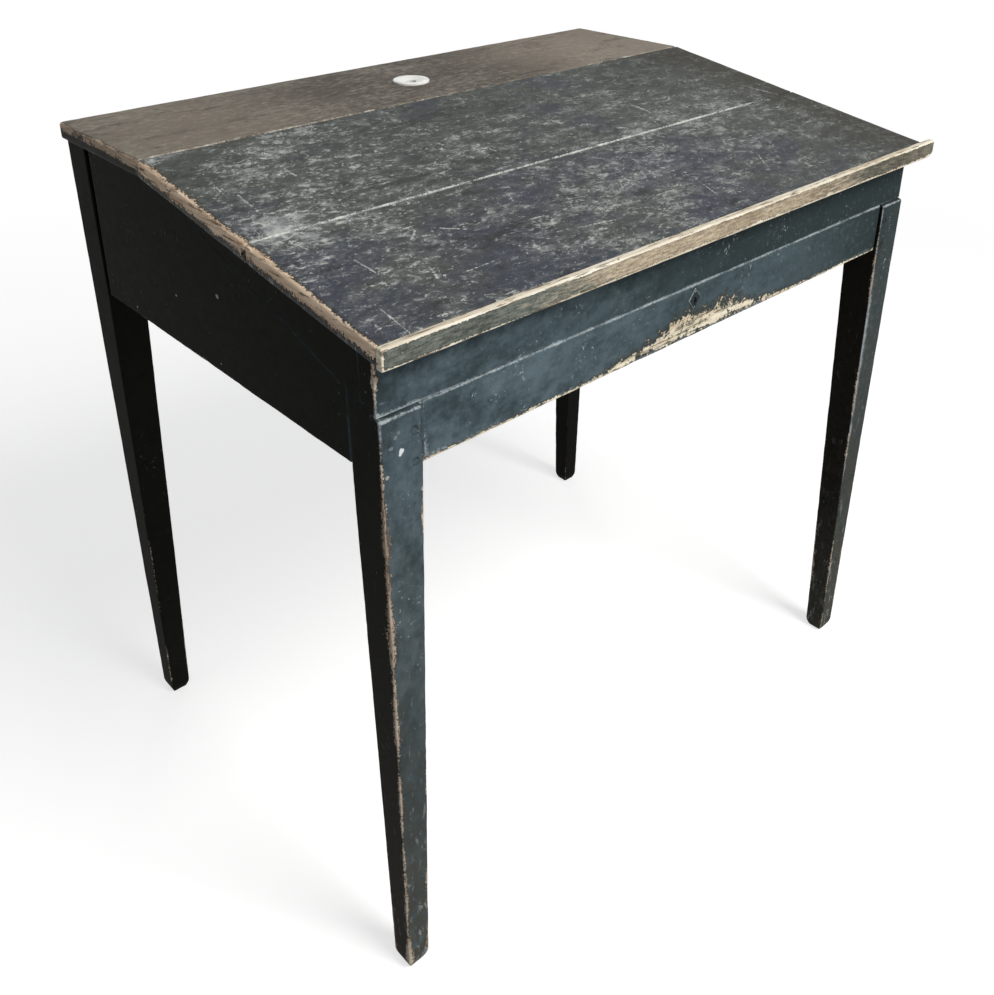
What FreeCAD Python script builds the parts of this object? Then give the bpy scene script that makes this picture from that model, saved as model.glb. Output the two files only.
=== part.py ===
import FreeCAD, Part
import os
import re
import Sketcher

# A painted pine school desk. Four square legs taper to the floor. An apron, two side panels and a
# back panel are tenoned between them and make a box with a boarded bottom. The box was sawn
# through on one sloping plane, the rim plane, which climbs from the front rim to the hinge line.
# All above that plane belongs to the lift lid: two sloping boards, a front rail, two wedges and
# a nosing strip. The level back board is fixed and holds the inkwell.
#
# Desk coordinates, in millimetres: X from the middle plane of the legs, Y from the front face of
# the front legs towards the back, Z from the floor. Every piece is drawn in them, and its
# Placement then moves the origin under the middle of the whole desk.

DIMENSIONS = {
    # carcass
    "frame_width": (795, "outer face to outer face of the legs"),
    "frame_depth": (556, "front face to rear face of the legs"),
    "top_height": (800, "floor to the top of the back board"),
    "apron_height": (57, "lower edge of apron and panels to the rim plane at the front"),
    "leg_width": (43, "square leg above the taper"),
    "foot_width": (26, "square leg at the floor"),
    "foot_bevel": (4, "bevel round the foot, across"),
    "foot_bevel_height": (10, "bevel round the foot, up"),
    "panel_thickness": (20, "apron, panels and lid rail"),
    "apron_setback": (4, "leg face to apron face"),
    "back_setback": (4, "rear leg face to back panel face"),
    "rear_gap_top": (10, "open shoulder between side panel and rear leg, at the top"),
    "rear_gap_bottom": (6, "the same at the bottom"),
    "arris_radius": (1.5, "worn edge of legs, rails and panels"),
    # joints of the carcass
    "tenon_thickness": (8, "tenons of apron and panels"),
    "tenon_cover": (19, "outer face of a leg to the end of the tenons of apron and back panel"),
    "side_tenon_length": (18, "tenons of the side panels into the legs"),
    "side_tenon_root": (24, "the same tenons back into the panels"),
    "tenon_haunch": (10, "rim plane down to the top of a front tenon"),
    "rear_tenon_height": (46, "each of the two tenons at the rear of a side panel"),
    "rear_tenon_margin": (12, "panel edge to the nearer rear tenon"),
    "peg_diameter": (7, "draw-bore peg"),
    "peg_length": (30, "draw-bore peg"),
    "peg_inset": (35, "outer face of the leg to the pegs"),
    "peg_edge": (6.5, "lower edge of the rail to the lower peg"),
    "peg_spacing": (30, "lower peg to upper peg"),
    # bottom
    "bottom_thickness": (10, "bottom boards"),
    "bottom_play": (1, "gap round and between the bottom boards"),
    "ledger_width": (14, "ledger strips under the bottom boards"),
    "ledger_height": (12, "ledger strips under the bottom boards"),
    # top
    "board_thickness": (18, "back board and lid boards"),
    "back_board_depth": (187.5, "hinge line to the rear edge of the back board"),
    "side_overhang": (5.5, "top boards beyond the side faces"),
    "back_overhang": (3, "back board beyond the rear legs"),
    "corner_radius": (6, "corners of the top, seen from above"),
    "edge_radius": (2, "edges of the top boards"),
    # lid
    "lid_front_overhang": (8, "lid board beyond the front legs"),
    "lid_drop": (58, "hinge line down to the front edge of the lid"),
    "front_board_depth": (183.5, "front lid board, front edge to the board joint"),
    "board_gap": (0.6, "open joint between the two lid boards"),
    "tongue_length": (6, "tongue of the front lid board"),
    "tongue_thickness": (6, "tongue of the front lid board"),
    "tongue_play": (0.1, "tongue to each side of its groove"),
    "lid_rail_height": (56, "rim plane to the underside of the lid at the front face of the legs"),
    "hinge_rim_drop": (12.5, "top surface down to the rim plane at the hinge line"),
    "wedge_tail": (3, "height of a wedge at its rear end"),
    "lid_gap": (0.4, "closed lid to the carcass"),
    "nosing_thickness": (8, "strip nailed to the front edge of the lid"),
    "nosing_height": (20, "the same strip"),
    "nosing_overhang": (20, "strip beyond the right end of the lid"),
    "nosing_end_radius": (9, "rounded lower corner of its right end"),
    # hinges
    "seam_gap": (1.2, "lid to back board at the hinge line"),
    "seam_radius": (2.5, "rounded top edges along the hinge line"),
    "hinge_inset": (117.5, "outer face of the legs to the middle of a hinge"),
    "hinge_length": (51, "hinge leaf"),
    "hinge_leaf_height": (13, "hinge axis to the lower edge of a leaf"),
    "leaf_thickness": (1.4, "hinge leaf"),
    "axis_drop": (1.5, "top surface down to the hinge axis"),
    "barrel_radius": (2, "hinge knuckles"),
    "barrel_clearance": (0.6, "knuckle to what it turns in"),
    "pin_radius": (0.9, "hinge pin"),
    "pin_clearance": (0.05, "pin to knuckle"),
    "hinge_screw_length": (15, "screw head face to tip"),
    "hinge_screw_pitch": (17, "screw to screw on a leaf"),
    "hinge_screw_drop": (8, "hinge axis to the screws"),
    # lock
    "lock_width": (64, "lock case"),
    "lock_height": (32, "rim height down to the floor of the lock case"),
    "lock_depth": (14, "lock case into the apron from inside"),
    "case_wall": (1.2, "plates of the lock case"),
    "selvedge_length": (84, "plate on the rim of the apron"),
    "selvedge_width": (16, "the same plate"),
    "selvedge_thickness": (2, "the same plate"),
    "lock_screw_spacing": (74, "two screws through the selvedge"),
    "lock_screw_length": (16, "screw head to tip"),
    "link_screw_spacing": (36, "two screws through the link plate"),
    "keyhole_drop": (14.5, "rim height down to the round of the keyhole"),
    "keyhole_radius": (2.3, "round of the keyhole"),
    "keyhole_slot": (6, "round of the keyhole down to the foot of its slot"),
    "slot_width": (2.2, "slot of the keyhole"),
    "key_pin_radius": (1.3, "pin that the hollow key turns on"),
    "staple_spacing": (24, "middle to middle of the two staples"),
    "staple_thickness": (3, "staple, along the bolt's travel"),
    "staple_width": (5.2, "staple, front to back"),
    "staple_rise": (7.5, "rim height down to the tip of a staple"),
    "staple_wall": (1.2, "metal round the eye of a staple"),
    "eye_height": (6.4, "eye of a staple"),
    "bolt_thickness": (2, "bolt, front to back"),
    "bolt_travel": (8, "throw of the bolt"),
    "bolt_bar_height": (6, "bar of the bolt"),
    "bolt_finger": (9, "finger that enters a staple"),
    "bolt_prong": (6, "prong that carries a finger"),
    "bolt_clearance": (1, "bolt to staple, case and key pin"),
    "guide_pin_radius": (1.2, "two pins on the cap that the slots of the bolt slide on"),
    "guide_pin_spacing": (30, "middle to middle of the guide pins"),
    "guide_play": (0.3, "guide pin to its slot"),
    "link_length": (44, "link plate on the lid rail"),
    "link_thickness": (1.6, "link plate"),
    # escutcheon
    "escutcheon_width": (19, "lozenge plate round the keyhole"),
    "escutcheon_height": (24, "lozenge plate round the keyhole"),
    "escutcheon_thickness": (1.2, "lozenge plate round the keyhole"),
    "escutcheon_pin_radius": (0.9, "two pins that hold it"),
    "escutcheon_pin_length": (7, "two pins that hold it"),
    # nails and screws
    "nail_radius": (1.2, "lost-head nails"),
    "nail_length": (30, "lost-head nails"),
    "nail_cover": (2, "wood over a punched nail"),
    "brad_radius": (0.9, "nosing, ledger and bottom nails"),
    "brad_length": (26, "nosing, ledger and bottom nails"),
    "screw_radius": (1.4, "shank of the small screws"),
    "screw_head_radius": (2.8, "countersunk head"),
    "screw_head_height": (1.2, "countersunk head"),
    # inkwell
    "inkwell_shift": (-7, "inkwell to the middle plane"),
    "inkwell_setback": (79.5, "hinge line to the middle of the inkwell"),
    "inkwell_rim_radius": (22.5, "rim that rests on the back board"),
    "inkwell_rim_height": (3, "rim above the back board"),
    "inkwell_body_radius": (17.5, "body under the rim"),
    "inkwell_foot_radius": (14.5, "underside of the body"),
    "inkwell_depth": (36, "back board surface down to the underside"),
    "inkwell_wall": (3.5, "porcelain"),
    "inkwell_mouth_radius": (6.5, "hole for the pen"),
    "inkwell_play": (1, "body to the hole in the back board"),
}

WORKED_OUT = {
    "middle_shift": "-nosing_overhang / 2",
    "front_shift": "-(frame_depth + back_overhang - lid_front_overhang - nosing_thickness) / 2",
    "half_frame": "frame_width / 2",
    "half_top": "frame_width / 2 + side_overhang",
    "half_apron": "frame_width / 2 - leg_width",
    "tenon_length": "leg_width - tenon_cover",
    "apron_back": "apron_setback + panel_thickness",
    "back_panel_rear": "frame_depth - back_setback",
    "back_panel_front": "back_panel_rear - panel_thickness",
    "rear_leg_front": "frame_depth - leg_width",
    "board_under": "top_height - board_thickness",
    "hinge_line": "frame_depth + back_overhang - back_board_depth",
    "lid_slope": "lid_drop / (hinge_line + lid_front_overhang)",
    "board_rise": "board_thickness * sqrt(1 + lid_slope ^ 2)",
    "rim_height": "top_height - lid_slope * hinge_line - board_rise - lid_rail_height",
    "rail_bottom": "rim_height - apron_height",
    "rim_slope": "(top_height - hinge_rim_drop - rim_height) / hinge_line",
    "wedge_end": "(top_height - lid_slope * hinge_line - board_rise - rim_height - wedge_tail)"
                 " / (rim_slope - lid_slope)",
    "board_joint": "front_board_depth - lid_front_overhang",
    "seam_front": "hinge_line - seam_gap / 2",
    "seam_rear": "hinge_line + seam_gap / 2",
    "axis_height": "top_height - axis_drop",
    "barrel_room": "barrel_radius + barrel_clearance",
    "lock_front": "apron_back - lock_depth",
    "lock_floor": "rim_height - lock_height",
    "keyhole_height": "rim_height - keyhole_drop",
    "lock_screw_depth": "apron_back - selvedge_width * 0.7",
    "staple_tip": "rim_height - staple_rise",
    "staple_back": "apron_back - case_wall - bolt_clearance / 2",
    "bolt_middle": "staple_back - staple_width / 2",
    "eye_bottom": "staple_tip + staple_wall",
    "bolt_top": "eye_bottom + eye_height - bolt_clearance",
    "bar_top": "staple_tip - bolt_clearance",
    "bar_bottom": "bar_top - bolt_bar_height",
    "inkwell_middle": "hinge_line + inkwell_setback",
    "floor_level": "rail_bottom + ledger_height",
    "bottom_front": "apron_back + bottom_play",
    "bottom_rear": "back_panel_front - bottom_play",
    "bottom_board": "(bottom_rear - bottom_front + bottom_play) / 3",
}

# The plane across each axis, and the sign of that plane's own normal along the axis.
PLANES = {"x": ("YZ_Plane", ""), "y": ("XZ_Plane", "-"), "z": ("XY_Plane", "")}
SIDES = {"left": -1, "right": 1}
NAME = re.compile(r"[a-z]+(?:_[a-z]+)+")

document = FreeCAD.newDocument("school_desk")
sub_parts = []


def make_sheet():
    """Put the driving dimensions in the sheet, one to a row: words, value, alias."""
    sheet = document.addObject("Spreadsheet::Sheet", "dims")
    for row, (alias, (value, words)) in enumerate(DIMENSIONS.items(), start=1):
        sheet.set(f"A{row}", words)
        sheet.set(f"B{row}", str(value))
        sheet.setAlias(f"B{row}", alias)
    document.recompute()


def expression(rule):
    """Write a rule in the sheet's terms: worked-out names are spelled out, driving ones looked up."""
    def meaning(match):
        word = match.group()
        if word in WORKED_OUT:
            return "(" + expression(WORKED_OUT[word]) + ")"
        return "dims." + word
    return NAME.sub(meaning, str(rule))


def rim(depth):
    """Height of the rim plane at a depth behind the leg faces."""
    return f"(rim_height + rim_slope * ({depth}))"


def lid_top(depth):
    """Height of the lid's upper surface."""
    return f"(top_height - lid_slope * (hinge_line - ({depth})))"


def lid_under(depth):
    """Height of the underside of the lid boards."""
    return f"({lid_top(depth)} - board_rise)"


# ---------------------------------------------------------------- drawing and cutting

def new_piece(label):
    """Start a sub-part, placed with the rest of the desk."""
    body = document.addObject("PartDesign::Body", label)
    body.Label = label
    body.AllowCompound = True
    body.setExpression("Placement.Base.x", expression("middle_shift"))
    body.setExpression("Placement.Base.y", expression("front_shift"))
    sub_parts.append(body)
    return body


def new_sketch(body, axis, level):
    """A sketch across an axis, at a level along it."""
    role, normal_sign = PLANES[axis]
    plane = [feature for feature in body.Origin.OriginFeatures if feature.Role == role][0]
    sketch = body.newObject("Sketcher::SketchObject", body.Name + "_sketch")
    sketch.AttachmentSupport = [(plane, "")]
    sketch.MapMode = "FlatFace"
    sketch.setExpression("AttachmentOffset.Base.z", expression(f"{normal_sign}({level})"))
    return sketch


def hold_point(sketch, geometry, point, across, up):
    """Hold one point of the sketch at its two coordinates."""
    for kind, rule in (("DistanceX", across), ("DistanceY", up)):
        number = sketch.addConstraint(Sketcher.Constraint(kind, -1, 1, geometry, point, 1.0))
        sketch.setExpression(f"Constraints[{number}]", expression(rule))


def draw_outline(sketch, corners):
    """Draw straight lines round a list of corners. They start on a bow, so that none has no length."""
    count = len(corners)
    start = sketch.GeometryCount
    bow = [FreeCAD.Vector(number, number * number, 0) for number in range(count)]
    for number in range(count):
        sketch.addGeometry(Part.LineSegment(bow[number], bow[(number + 1) % count]), False)
    for number in range(count):
        following = start + (number + 1) % count
        sketch.addConstraint(Sketcher.Constraint("Coincident", start + number, 2, following, 1))
    for number, (across, up) in enumerate(corners):
        hold_point(sketch, start + number, 1, across, up)


def draw_circles(sketch, centres, radius):
    """Draw equal circles."""
    for across, up in centres:
        circle = Part.Circle(FreeCAD.Vector(0, 0, 0), FreeCAD.Vector(0, 0, 1), 1)
        number = sketch.addGeometry(circle, False)
        hold_point(sketch, number, 3, across, up)
        size = sketch.addConstraint(Sketcher.Constraint("Radius", number, 1.0))
        sketch.setExpression(f"Constraints[{size}]", expression(radius))


def extrude(body, sketch, axis, length, cut):
    """Pad or pocket a sketch towards the positive end of its axis."""
    kind = "PartDesign::Pocket" if cut else "PartDesign::Pad"
    feature = body.newObject(kind, body.Name + ("_pocket" if cut else "_pad"))
    feature.Profile = sketch
    feature.setExpression("Length", expression(length))
    feature.Reversed = (axis == "y") != cut
    sketch.Visibility = False
    return feature


def block(body, axis, level, length, corners, cut=False):
    """A prism along an axis."""
    sketch = new_sketch(body, axis, level)
    draw_outline(sketch, corners)
    return extrude(body, sketch, axis, length, cut)


def cylinders(body, axis, level, length, centres, radius, cut=False):
    """Equal cylinders along an axis."""
    sketch = new_sketch(body, axis, level)
    draw_circles(sketch, centres, radius)
    return extrude(body, sketch, axis, length, cut)


def box_corners(low_across, high_across, low_up, high_up):
    """Corners of a rectangle."""
    return [(low_across, low_up), (high_across, low_up), (high_across, high_up), (low_across, high_up)]


def runs_along(edge, axis):
    """Whether a straight edge lies along an axis."""
    if not isinstance(edge.Curve, Part.Line):
        return False
    return abs(abs(getattr(edge.Curve.Direction, axis)) - 1) < 1e-6


def lies_level(edge):
    """Whether an edge lies in a level plane."""
    return edge.BoundBox.ZLength < 1e-3


def round_edges(body, radius, chosen):
    """Round the edges of the piece so far that the rule chooses. The rule gets edge and box."""
    document.recompute()
    base = body.Tip
    box = base.Shape.BoundBox
    names = [f"Edge{number}" for number, edge in enumerate(base.Shape.Edges, start=1)
             if chosen(edge, box)]
    fillet = body.newObject("PartDesign::Fillet", body.Name + "_fillet")
    fillet.Base = (base, names)
    fillet.setExpression("Radius", expression(radius))
    base.Visibility = False


def both_sides(distance):
    """A distance to the left and to the right of the middle plane."""
    return [f"{side} * ({distance})" for side in SIDES.values()]


# ---------------------------------------------------------------- legs

APRON_TENON = ("apron_setback + (panel_thickness - tenon_thickness) / 2",
               "apron_setback + (panel_thickness + tenon_thickness) / 2")
BACK_TENON = ("back_panel_front + (panel_thickness - tenon_thickness) / 2",
              "back_panel_front + (panel_thickness + tenon_thickness) / 2")
FRONT_TENON_TOP = "rim_height - tenon_haunch"
BACK_TENON_TOP = "board_under - tenon_haunch"
REAR_TENONS = (("rail_bottom + rear_tenon_margin",
                "rail_bottom + rear_tenon_margin + rear_tenon_height"),
               ("board_under - rear_tenon_margin - rear_tenon_height",
                "board_under - rear_tenon_margin"))
PEG_HEIGHTS = ("rail_bottom + peg_edge", "rail_bottom + peg_edge + peg_spacing")
BACK_PEG_HEIGHTS = ("rail_bottom + peg_spacing", "board_under - peg_spacing")


def peg_centres(heights):
    """Pegs through the tenons at both ends of a rail."""
    return [(across, up) for across in both_sides("half_frame - peg_inset") for up in heights]


def side_tenon_across(side):
    """Inner and outer face of a side panel's tenons."""
    middle = "half_frame - panel_thickness / 2"
    return (f"{side} * ({middle} - tenon_thickness / 2)", f"{side} * ({middle} + tenon_thickness / 2)")


def leg_section(body, side, outer_depth, inwards, level, width, inset="0"):
    """Square section of a leg. Its outer corner is on the frame's corner, or the inset from it."""
    sketch = new_sketch(body, "z", level)
    draw_outline(sketch, box_corners(f"{side} * (half_frame - {inset})",
                                     f"{side} * (half_frame - {width} + {inset})",
                                     f"{outer_depth} + {inwards} * {inset}",
                                     f"{outer_depth} + {inwards} * ({width} - {inset})"))
    sketch.Visibility = False
    return sketch


def make_leg(label, side, front):
    """A leg: bevelled foot, taper on the two inner faces, square head with its mortises."""
    body = new_piece(label)
    outer_depth = "0" if front else "frame_depth"
    inwards = 1 if front else -1
    block_start = "0" if front else "rear_leg_front"
    block_end = "leg_width" if front else "frame_depth"
    head = [(block_start, "rail_bottom"), (block_end, "rail_bottom")]
    if front:
        head += [(block_end, rim(block_end)), (block_start, rim(block_start))]
    else:
        head += [(block_end, "board_under"), (block_start, "board_under")]
    block(body, "x", f"{side} * (half_frame - leg_width / 2) - leg_width / 2", "leg_width", head)
    taper = body.newObject("PartDesign::AdditiveLoft", label + "_taper")
    taper.Profile = leg_section(body, side, outer_depth, inwards, "rail_bottom", "leg_width")
    taper.Sections = [
        leg_section(body, side, outer_depth, inwards, "foot_bevel_height", "foot_width"),
        leg_section(body, side, outer_depth, inwards, "0", "foot_width", "foot_bevel")]
    taper.Ruled = True
    round_edges(body, "arris_radius", lambda edge, box: is_outer_leg_edge(edge, box, side, inwards))

    rail_tenon = APRON_TENON if front else BACK_TENON
    rail_tenon_top = FRONT_TENON_TOP if front else BACK_TENON_TOP
    mortise_start = "half_apron" if side > 0 else "-half_apron - tenon_length"
    block(body, "x", mortise_start, "tenon_length",
          box_corners(rail_tenon[0], rail_tenon[1], "rail_bottom", rail_tenon_top), cut=True)
    across = side_tenon_across(side)
    if front:
        block(body, "y", "leg_width - side_tenon_length", "side_tenon_length",
              box_corners(across[0], across[1], "rail_bottom", FRONT_TENON_TOP), cut=True)
    else:
        for low, high in REAR_TENONS:
            block(body, "y", "rear_leg_front", "side_tenon_length",
                  box_corners(across[0], across[1], low, high), cut=True)
    peg_start = "0" if front else "frame_depth - peg_length"
    heights = PEG_HEIGHTS if front else BACK_PEG_HEIGHTS
    centres = [(f"{side} * (half_frame - peg_inset)", up) for up in heights]
    cylinders(body, "y", peg_start, "peg_length", centres, "peg_diameter / 2", cut=True)


def is_outer_leg_edge(edge, box, side, inwards):
    """The long edges of the head that stay open to view: all but the one inside the box."""
    if not runs_along(edge, "z"):
        return False
    middle = edge.CenterOfMass
    inner_across = box.XMin if side > 0 else box.XMax
    inner_depth = box.YMax if inwards > 0 else box.YMin
    touches_panel = abs(middle.y - inner_depth) < 1e-3
    touches_apron = abs(middle.x - inner_across) < 1e-3
    return not touches_panel and not touches_apron


def make_legs():
    for name, side in SIDES.items():
        make_leg(f"leg_front_{name}", side, True)
        make_leg(f"leg_rear_{name}", side, False)


# ---------------------------------------------------------------- apron, panels, bottom

def keyhole(body, level, length):
    """Cut a keyhole: a round with a slot below it."""
    cylinders(body, "y", level, length, [("0", "keyhole_height")], "keyhole_radius", cut=True)
    block(body, "y", level, length,
          box_corners("-slot_width / 2", "slot_width / 2", "keyhole_height - keyhole_slot",
                      "keyhole_height"), cut=True)


def make_apron():
    """Front apron: its top edge lies in the rim plane and holds the lock."""
    body = new_piece("front_apron")
    profile = [("apron_setback", "rail_bottom"), ("apron_back", "rail_bottom"),
               ("apron_back", rim("apron_back")), ("apron_setback", rim("apron_setback"))]
    block(body, "x", "-half_apron", "2 * half_apron", profile)
    round_edges(body, "arris_radius",
                lambda edge, box: runs_along(edge, "x") and edge.CenterOfMass.z < box.ZMin + 1e-3)
    block(body, "x", "-half_apron - tenon_length", "2 * (half_apron + tenon_length)",
          box_corners(APRON_TENON[0], APRON_TENON[1], "rail_bottom", FRONT_TENON_TOP))
    cylinders(body, "y", "apron_setback", "panel_thickness", peg_centres(PEG_HEIGHTS),
              "peg_diameter / 2", cut=True)
    case = [("lock_front", "lock_floor"), ("apron_back", "lock_floor"),
            ("apron_back", rim("apron_back")), ("lock_front", rim("lock_front"))]
    block(body, "x", "-lock_width / 2", "lock_width", case, cut=True)
    block(body, "x", "-selvedge_length / 2", "selvedge_length", selvedge_profile(), cut=True)
    keyhole(body, "apron_setback", "panel_thickness")
    lock_screws(body, cut=True)
    cylinders(body, "y", "apron_setback", "escutcheon_pin_length - escutcheon_thickness",
              ESCUTCHEON_PINS, "escutcheon_pin_radius", cut=True)


def make_side_panel(name, side):
    """Side panel: rim plane at the front, then close under the lid, then level."""
    body = new_piece(f"side_panel_{name}")
    step = "wedge_end + lid_gap"
    profile = [("leg_width", "rail_bottom"),
               ("rear_leg_front - rear_gap_bottom", "rail_bottom"),
               ("rear_leg_front - rear_gap_top", "board_under"),
               ("seam_rear", "board_under"),
               ("seam_rear", f"{lid_under('hinge_line')} - lid_gap"),
               (step, f"{lid_under(step)} - lid_gap"),
               (step, rim(step)),
               ("leg_width", rim("leg_width"))]
    start = "half_frame - panel_thickness" if side > 0 else "-half_frame"
    block(body, "x", start, "panel_thickness", profile)
    round_edges(body, "arris_radius",
                lambda edge, box: edge.CenterOfMass.y > box.YMax - box.YLength / 10
                and not runs_along(edge, "x") and not runs_along(edge, "y"))
    across = side_tenon_across(side)
    block(body, "y", "leg_width - side_tenon_length", "side_tenon_length + side_tenon_root",
          box_corners(across[0], across[1], "rail_bottom", FRONT_TENON_TOP))
    for low, high in REAR_TENONS:
        block(body, "y", "rear_leg_front - rear_gap_top - side_tenon_root",
              "rear_gap_top + side_tenon_root + side_tenon_length",
              box_corners(across[0], across[1], low, high))
    cylinders(body, "z", "board_under - nail_length + board_thickness - nail_cover",
              "nail_length", SIDE_NAILS, "nail_radius", cut=True)


def make_back_panel():
    body = new_piece("back_panel")
    block(body, "z", "rail_bottom", "board_under - rail_bottom",
          box_corners("-half_apron", "half_apron", "back_panel_front", "back_panel_rear"))
    round_edges(body, "arris_radius",
                lambda edge, box: runs_along(edge, "x") and edge.CenterOfMass.z < box.ZMin + 1e-3)
    block(body, "x", "-half_apron - tenon_length", "2 * (half_apron + tenon_length)",
          box_corners(BACK_TENON[0], BACK_TENON[1], "rail_bottom", BACK_TENON_TOP))
    cylinders(body, "y", "back_panel_front", "panel_thickness", peg_centres(BACK_PEG_HEIGHTS),
              "peg_diameter / 2", cut=True)
    cylinders(body, "z", "board_under - nail_length + board_thickness - nail_cover",
              "nail_length", BACK_NAILS, "nail_radius", cut=True)


def make_bottom_boards():
    """Three boards laid on the ledgers, notched round the legs."""
    half_inside = "half_frame - panel_thickness - bottom_play"
    for number, name in enumerate(("front", "middle", "rear")):
        body = new_piece(f"bottom_board_{name}")
        start = f"bottom_front + {number} * bottom_board"
        end = f"bottom_front + {number + 1} * bottom_board - bottom_play"
        block(body, "z", "floor_level", "bottom_thickness",
              box_corners(f"-({half_inside})", half_inside, start, end))
        notch = {"front": (start, "leg_width + bottom_play"),
                 "rear": ("rear_leg_front - bottom_play", end)}.get(name)
        if notch:
            inner = "half_apron - bottom_play"
            for side in SIDES.values():
                block(body, "z", "floor_level", "bottom_thickness",
                      box_corners(f"{side} * ({inner})", f"{side} * ({half_inside})", *notch), cut=True)
        cylinders(body, "z", "floor_level", "bottom_thickness", bottom_nails(number),
                  "brad_radius", cut=True)


def bottom_nails(number):
    """Nail places of one bottom board, over the side ledgers."""
    middle = f"bottom_front + ({number} + 0.5) * bottom_board"
    inner = "half_frame - panel_thickness - ledger_width / 2"
    return [(across, f"{middle} + {shift} * bottom_board / 4")
            for across in both_sides(inner) for shift in (-1, 1)]


def make_ledgers():
    """Strips under the bottom boards, on the panels, the apron and the back panel."""
    for name, side in SIDES.items():
        body = new_piece(f"side_ledger_{name}")
        block(body, "z", "rail_bottom", "ledger_height",
              box_corners(f"{side} * (half_frame - panel_thickness)",
                          f"{side} * (half_frame - panel_thickness - ledger_width)",
                          "leg_width", "rear_leg_front"))
        for number in range(3):
            cylinders(body, "z", "rail_bottom", "ledger_height",
                      [place for place in bottom_nails(number) if place[0].startswith(f"{side} ")],
                      "brad_radius", cut=True)
    for name, wall, inwards in (("front", "apron_back", 1), ("rear", "back_panel_front", -1)):
        body = new_piece(f"{name}_ledger")
        block(body, "z", "rail_bottom", "ledger_height",
              box_corners("-half_apron", "half_apron", wall, f"{wall} + {inwards} * ledger_width"))


def make_bottom_nails():
    body = new_piece("bottom_nails")
    places = [place for number in range(3) for place in bottom_nails(number)]
    cylinders(body, "z", "rail_bottom", "ledger_height + bottom_thickness", places, "brad_radius")


def make_pegs():
    for label, start, heights in (("front_pegs", "0", PEG_HEIGHTS),
                                  ("rear_pegs", "frame_depth - peg_length", BACK_PEG_HEIGHTS)):
        body = new_piece(label)
        cylinders(body, "y", start, "peg_length", peg_centres(heights), "peg_diameter / 2")


# ---------------------------------------------------------------- back board and lid

SIDE_NAIL_STEPS = (0.2, 0.5, 0.8)
SIDE_NAILS = [(across, f"seam_rear + {step} * (rear_leg_front - rear_gap_top - seam_rear)")
              for across in both_sides("half_frame - panel_thickness / 2")
              for step in SIDE_NAIL_STEPS]
BACK_NAILS = [(f"{step} * half_apron", "back_panel_rear - panel_thickness / 2")
              for step in (-0.8, -0.4, 0, 0.4, 0.8)]
INKWELL_PLACE = [("inkwell_shift", "inkwell_middle")]


def make_back_board():
    body = new_piece("back_board")
    block(body, "z", "board_under", "board_thickness",
          box_corners("-half_top", "half_top", "seam_rear", "frame_depth + back_overhang"))
    round_edges(body, "corner_radius",
                lambda edge, box: runs_along(edge, "z") and edge.CenterOfMass.y > box.YMax - 1e-3)
    round_edges(body, "edge_radius",
                lambda edge, box: edge.CenterOfMass.y > box.YMin + 1e-3 and lies_level(edge))
    round_edges(body, "seam_radius",
                lambda edge, box: runs_along(edge, "x") and edge.CenterOfMass.z > box.ZMax - 1e-3
                and edge.CenterOfMass.y < box.YMin + 1e-3)
    cylinders(body, "z", "board_under", "board_thickness", INKWELL_PLACE,
              "inkwell_body_radius + inkwell_play", cut=True)
    cylinders(body, "z", "board_under", "board_thickness - nail_cover", SIDE_NAILS + BACK_NAILS,
              "nail_radius", cut=True)
    cut_hinge_room(body, 1)


def hinge_middles():
    return both_sides("half_frame - hinge_inset")


def hinge_rows(count, pitch):
    """Places along the desk of a row of screws on each hinge."""
    offsets = [number - (count - 1) / 2 for number in range(count)]
    return [f"{middle} + {offset} * {pitch}" for middle in hinge_middles() for offset in offsets]


def cut_hinge_room(body, rearwards):
    """Let the leaves, the knuckles and the screws of both hinges into the edge of a board."""
    face = "seam_rear" if rearwards > 0 else "seam_front"
    for middle in hinge_middles():
        start = f"{middle} - hinge_length / 2"
        leaf = box_corners(face, f"{face} + {rearwards} * leaf_thickness",
                           "axis_height - hinge_leaf_height", "axis_height")
        block(body, "x", start, "hinge_length", leaf, cut=True)
        cylinders(body, "x", start, "hinge_length", [("hinge_line", "axis_height")],
                  "barrel_room", cut=True)
    screw_start = face if rearwards > 0 else f"{face} - hinge_screw_length"
    cylinders(body, "y", screw_start, "hinge_screw_length", HINGE_SCREWS, "screw_radius", cut=True)


HINGE_SCREWS = [(across, "axis_height - hinge_screw_drop")
                for across in hinge_rows(3, "hinge_screw_pitch")]
KNUCKLES = 3


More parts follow.
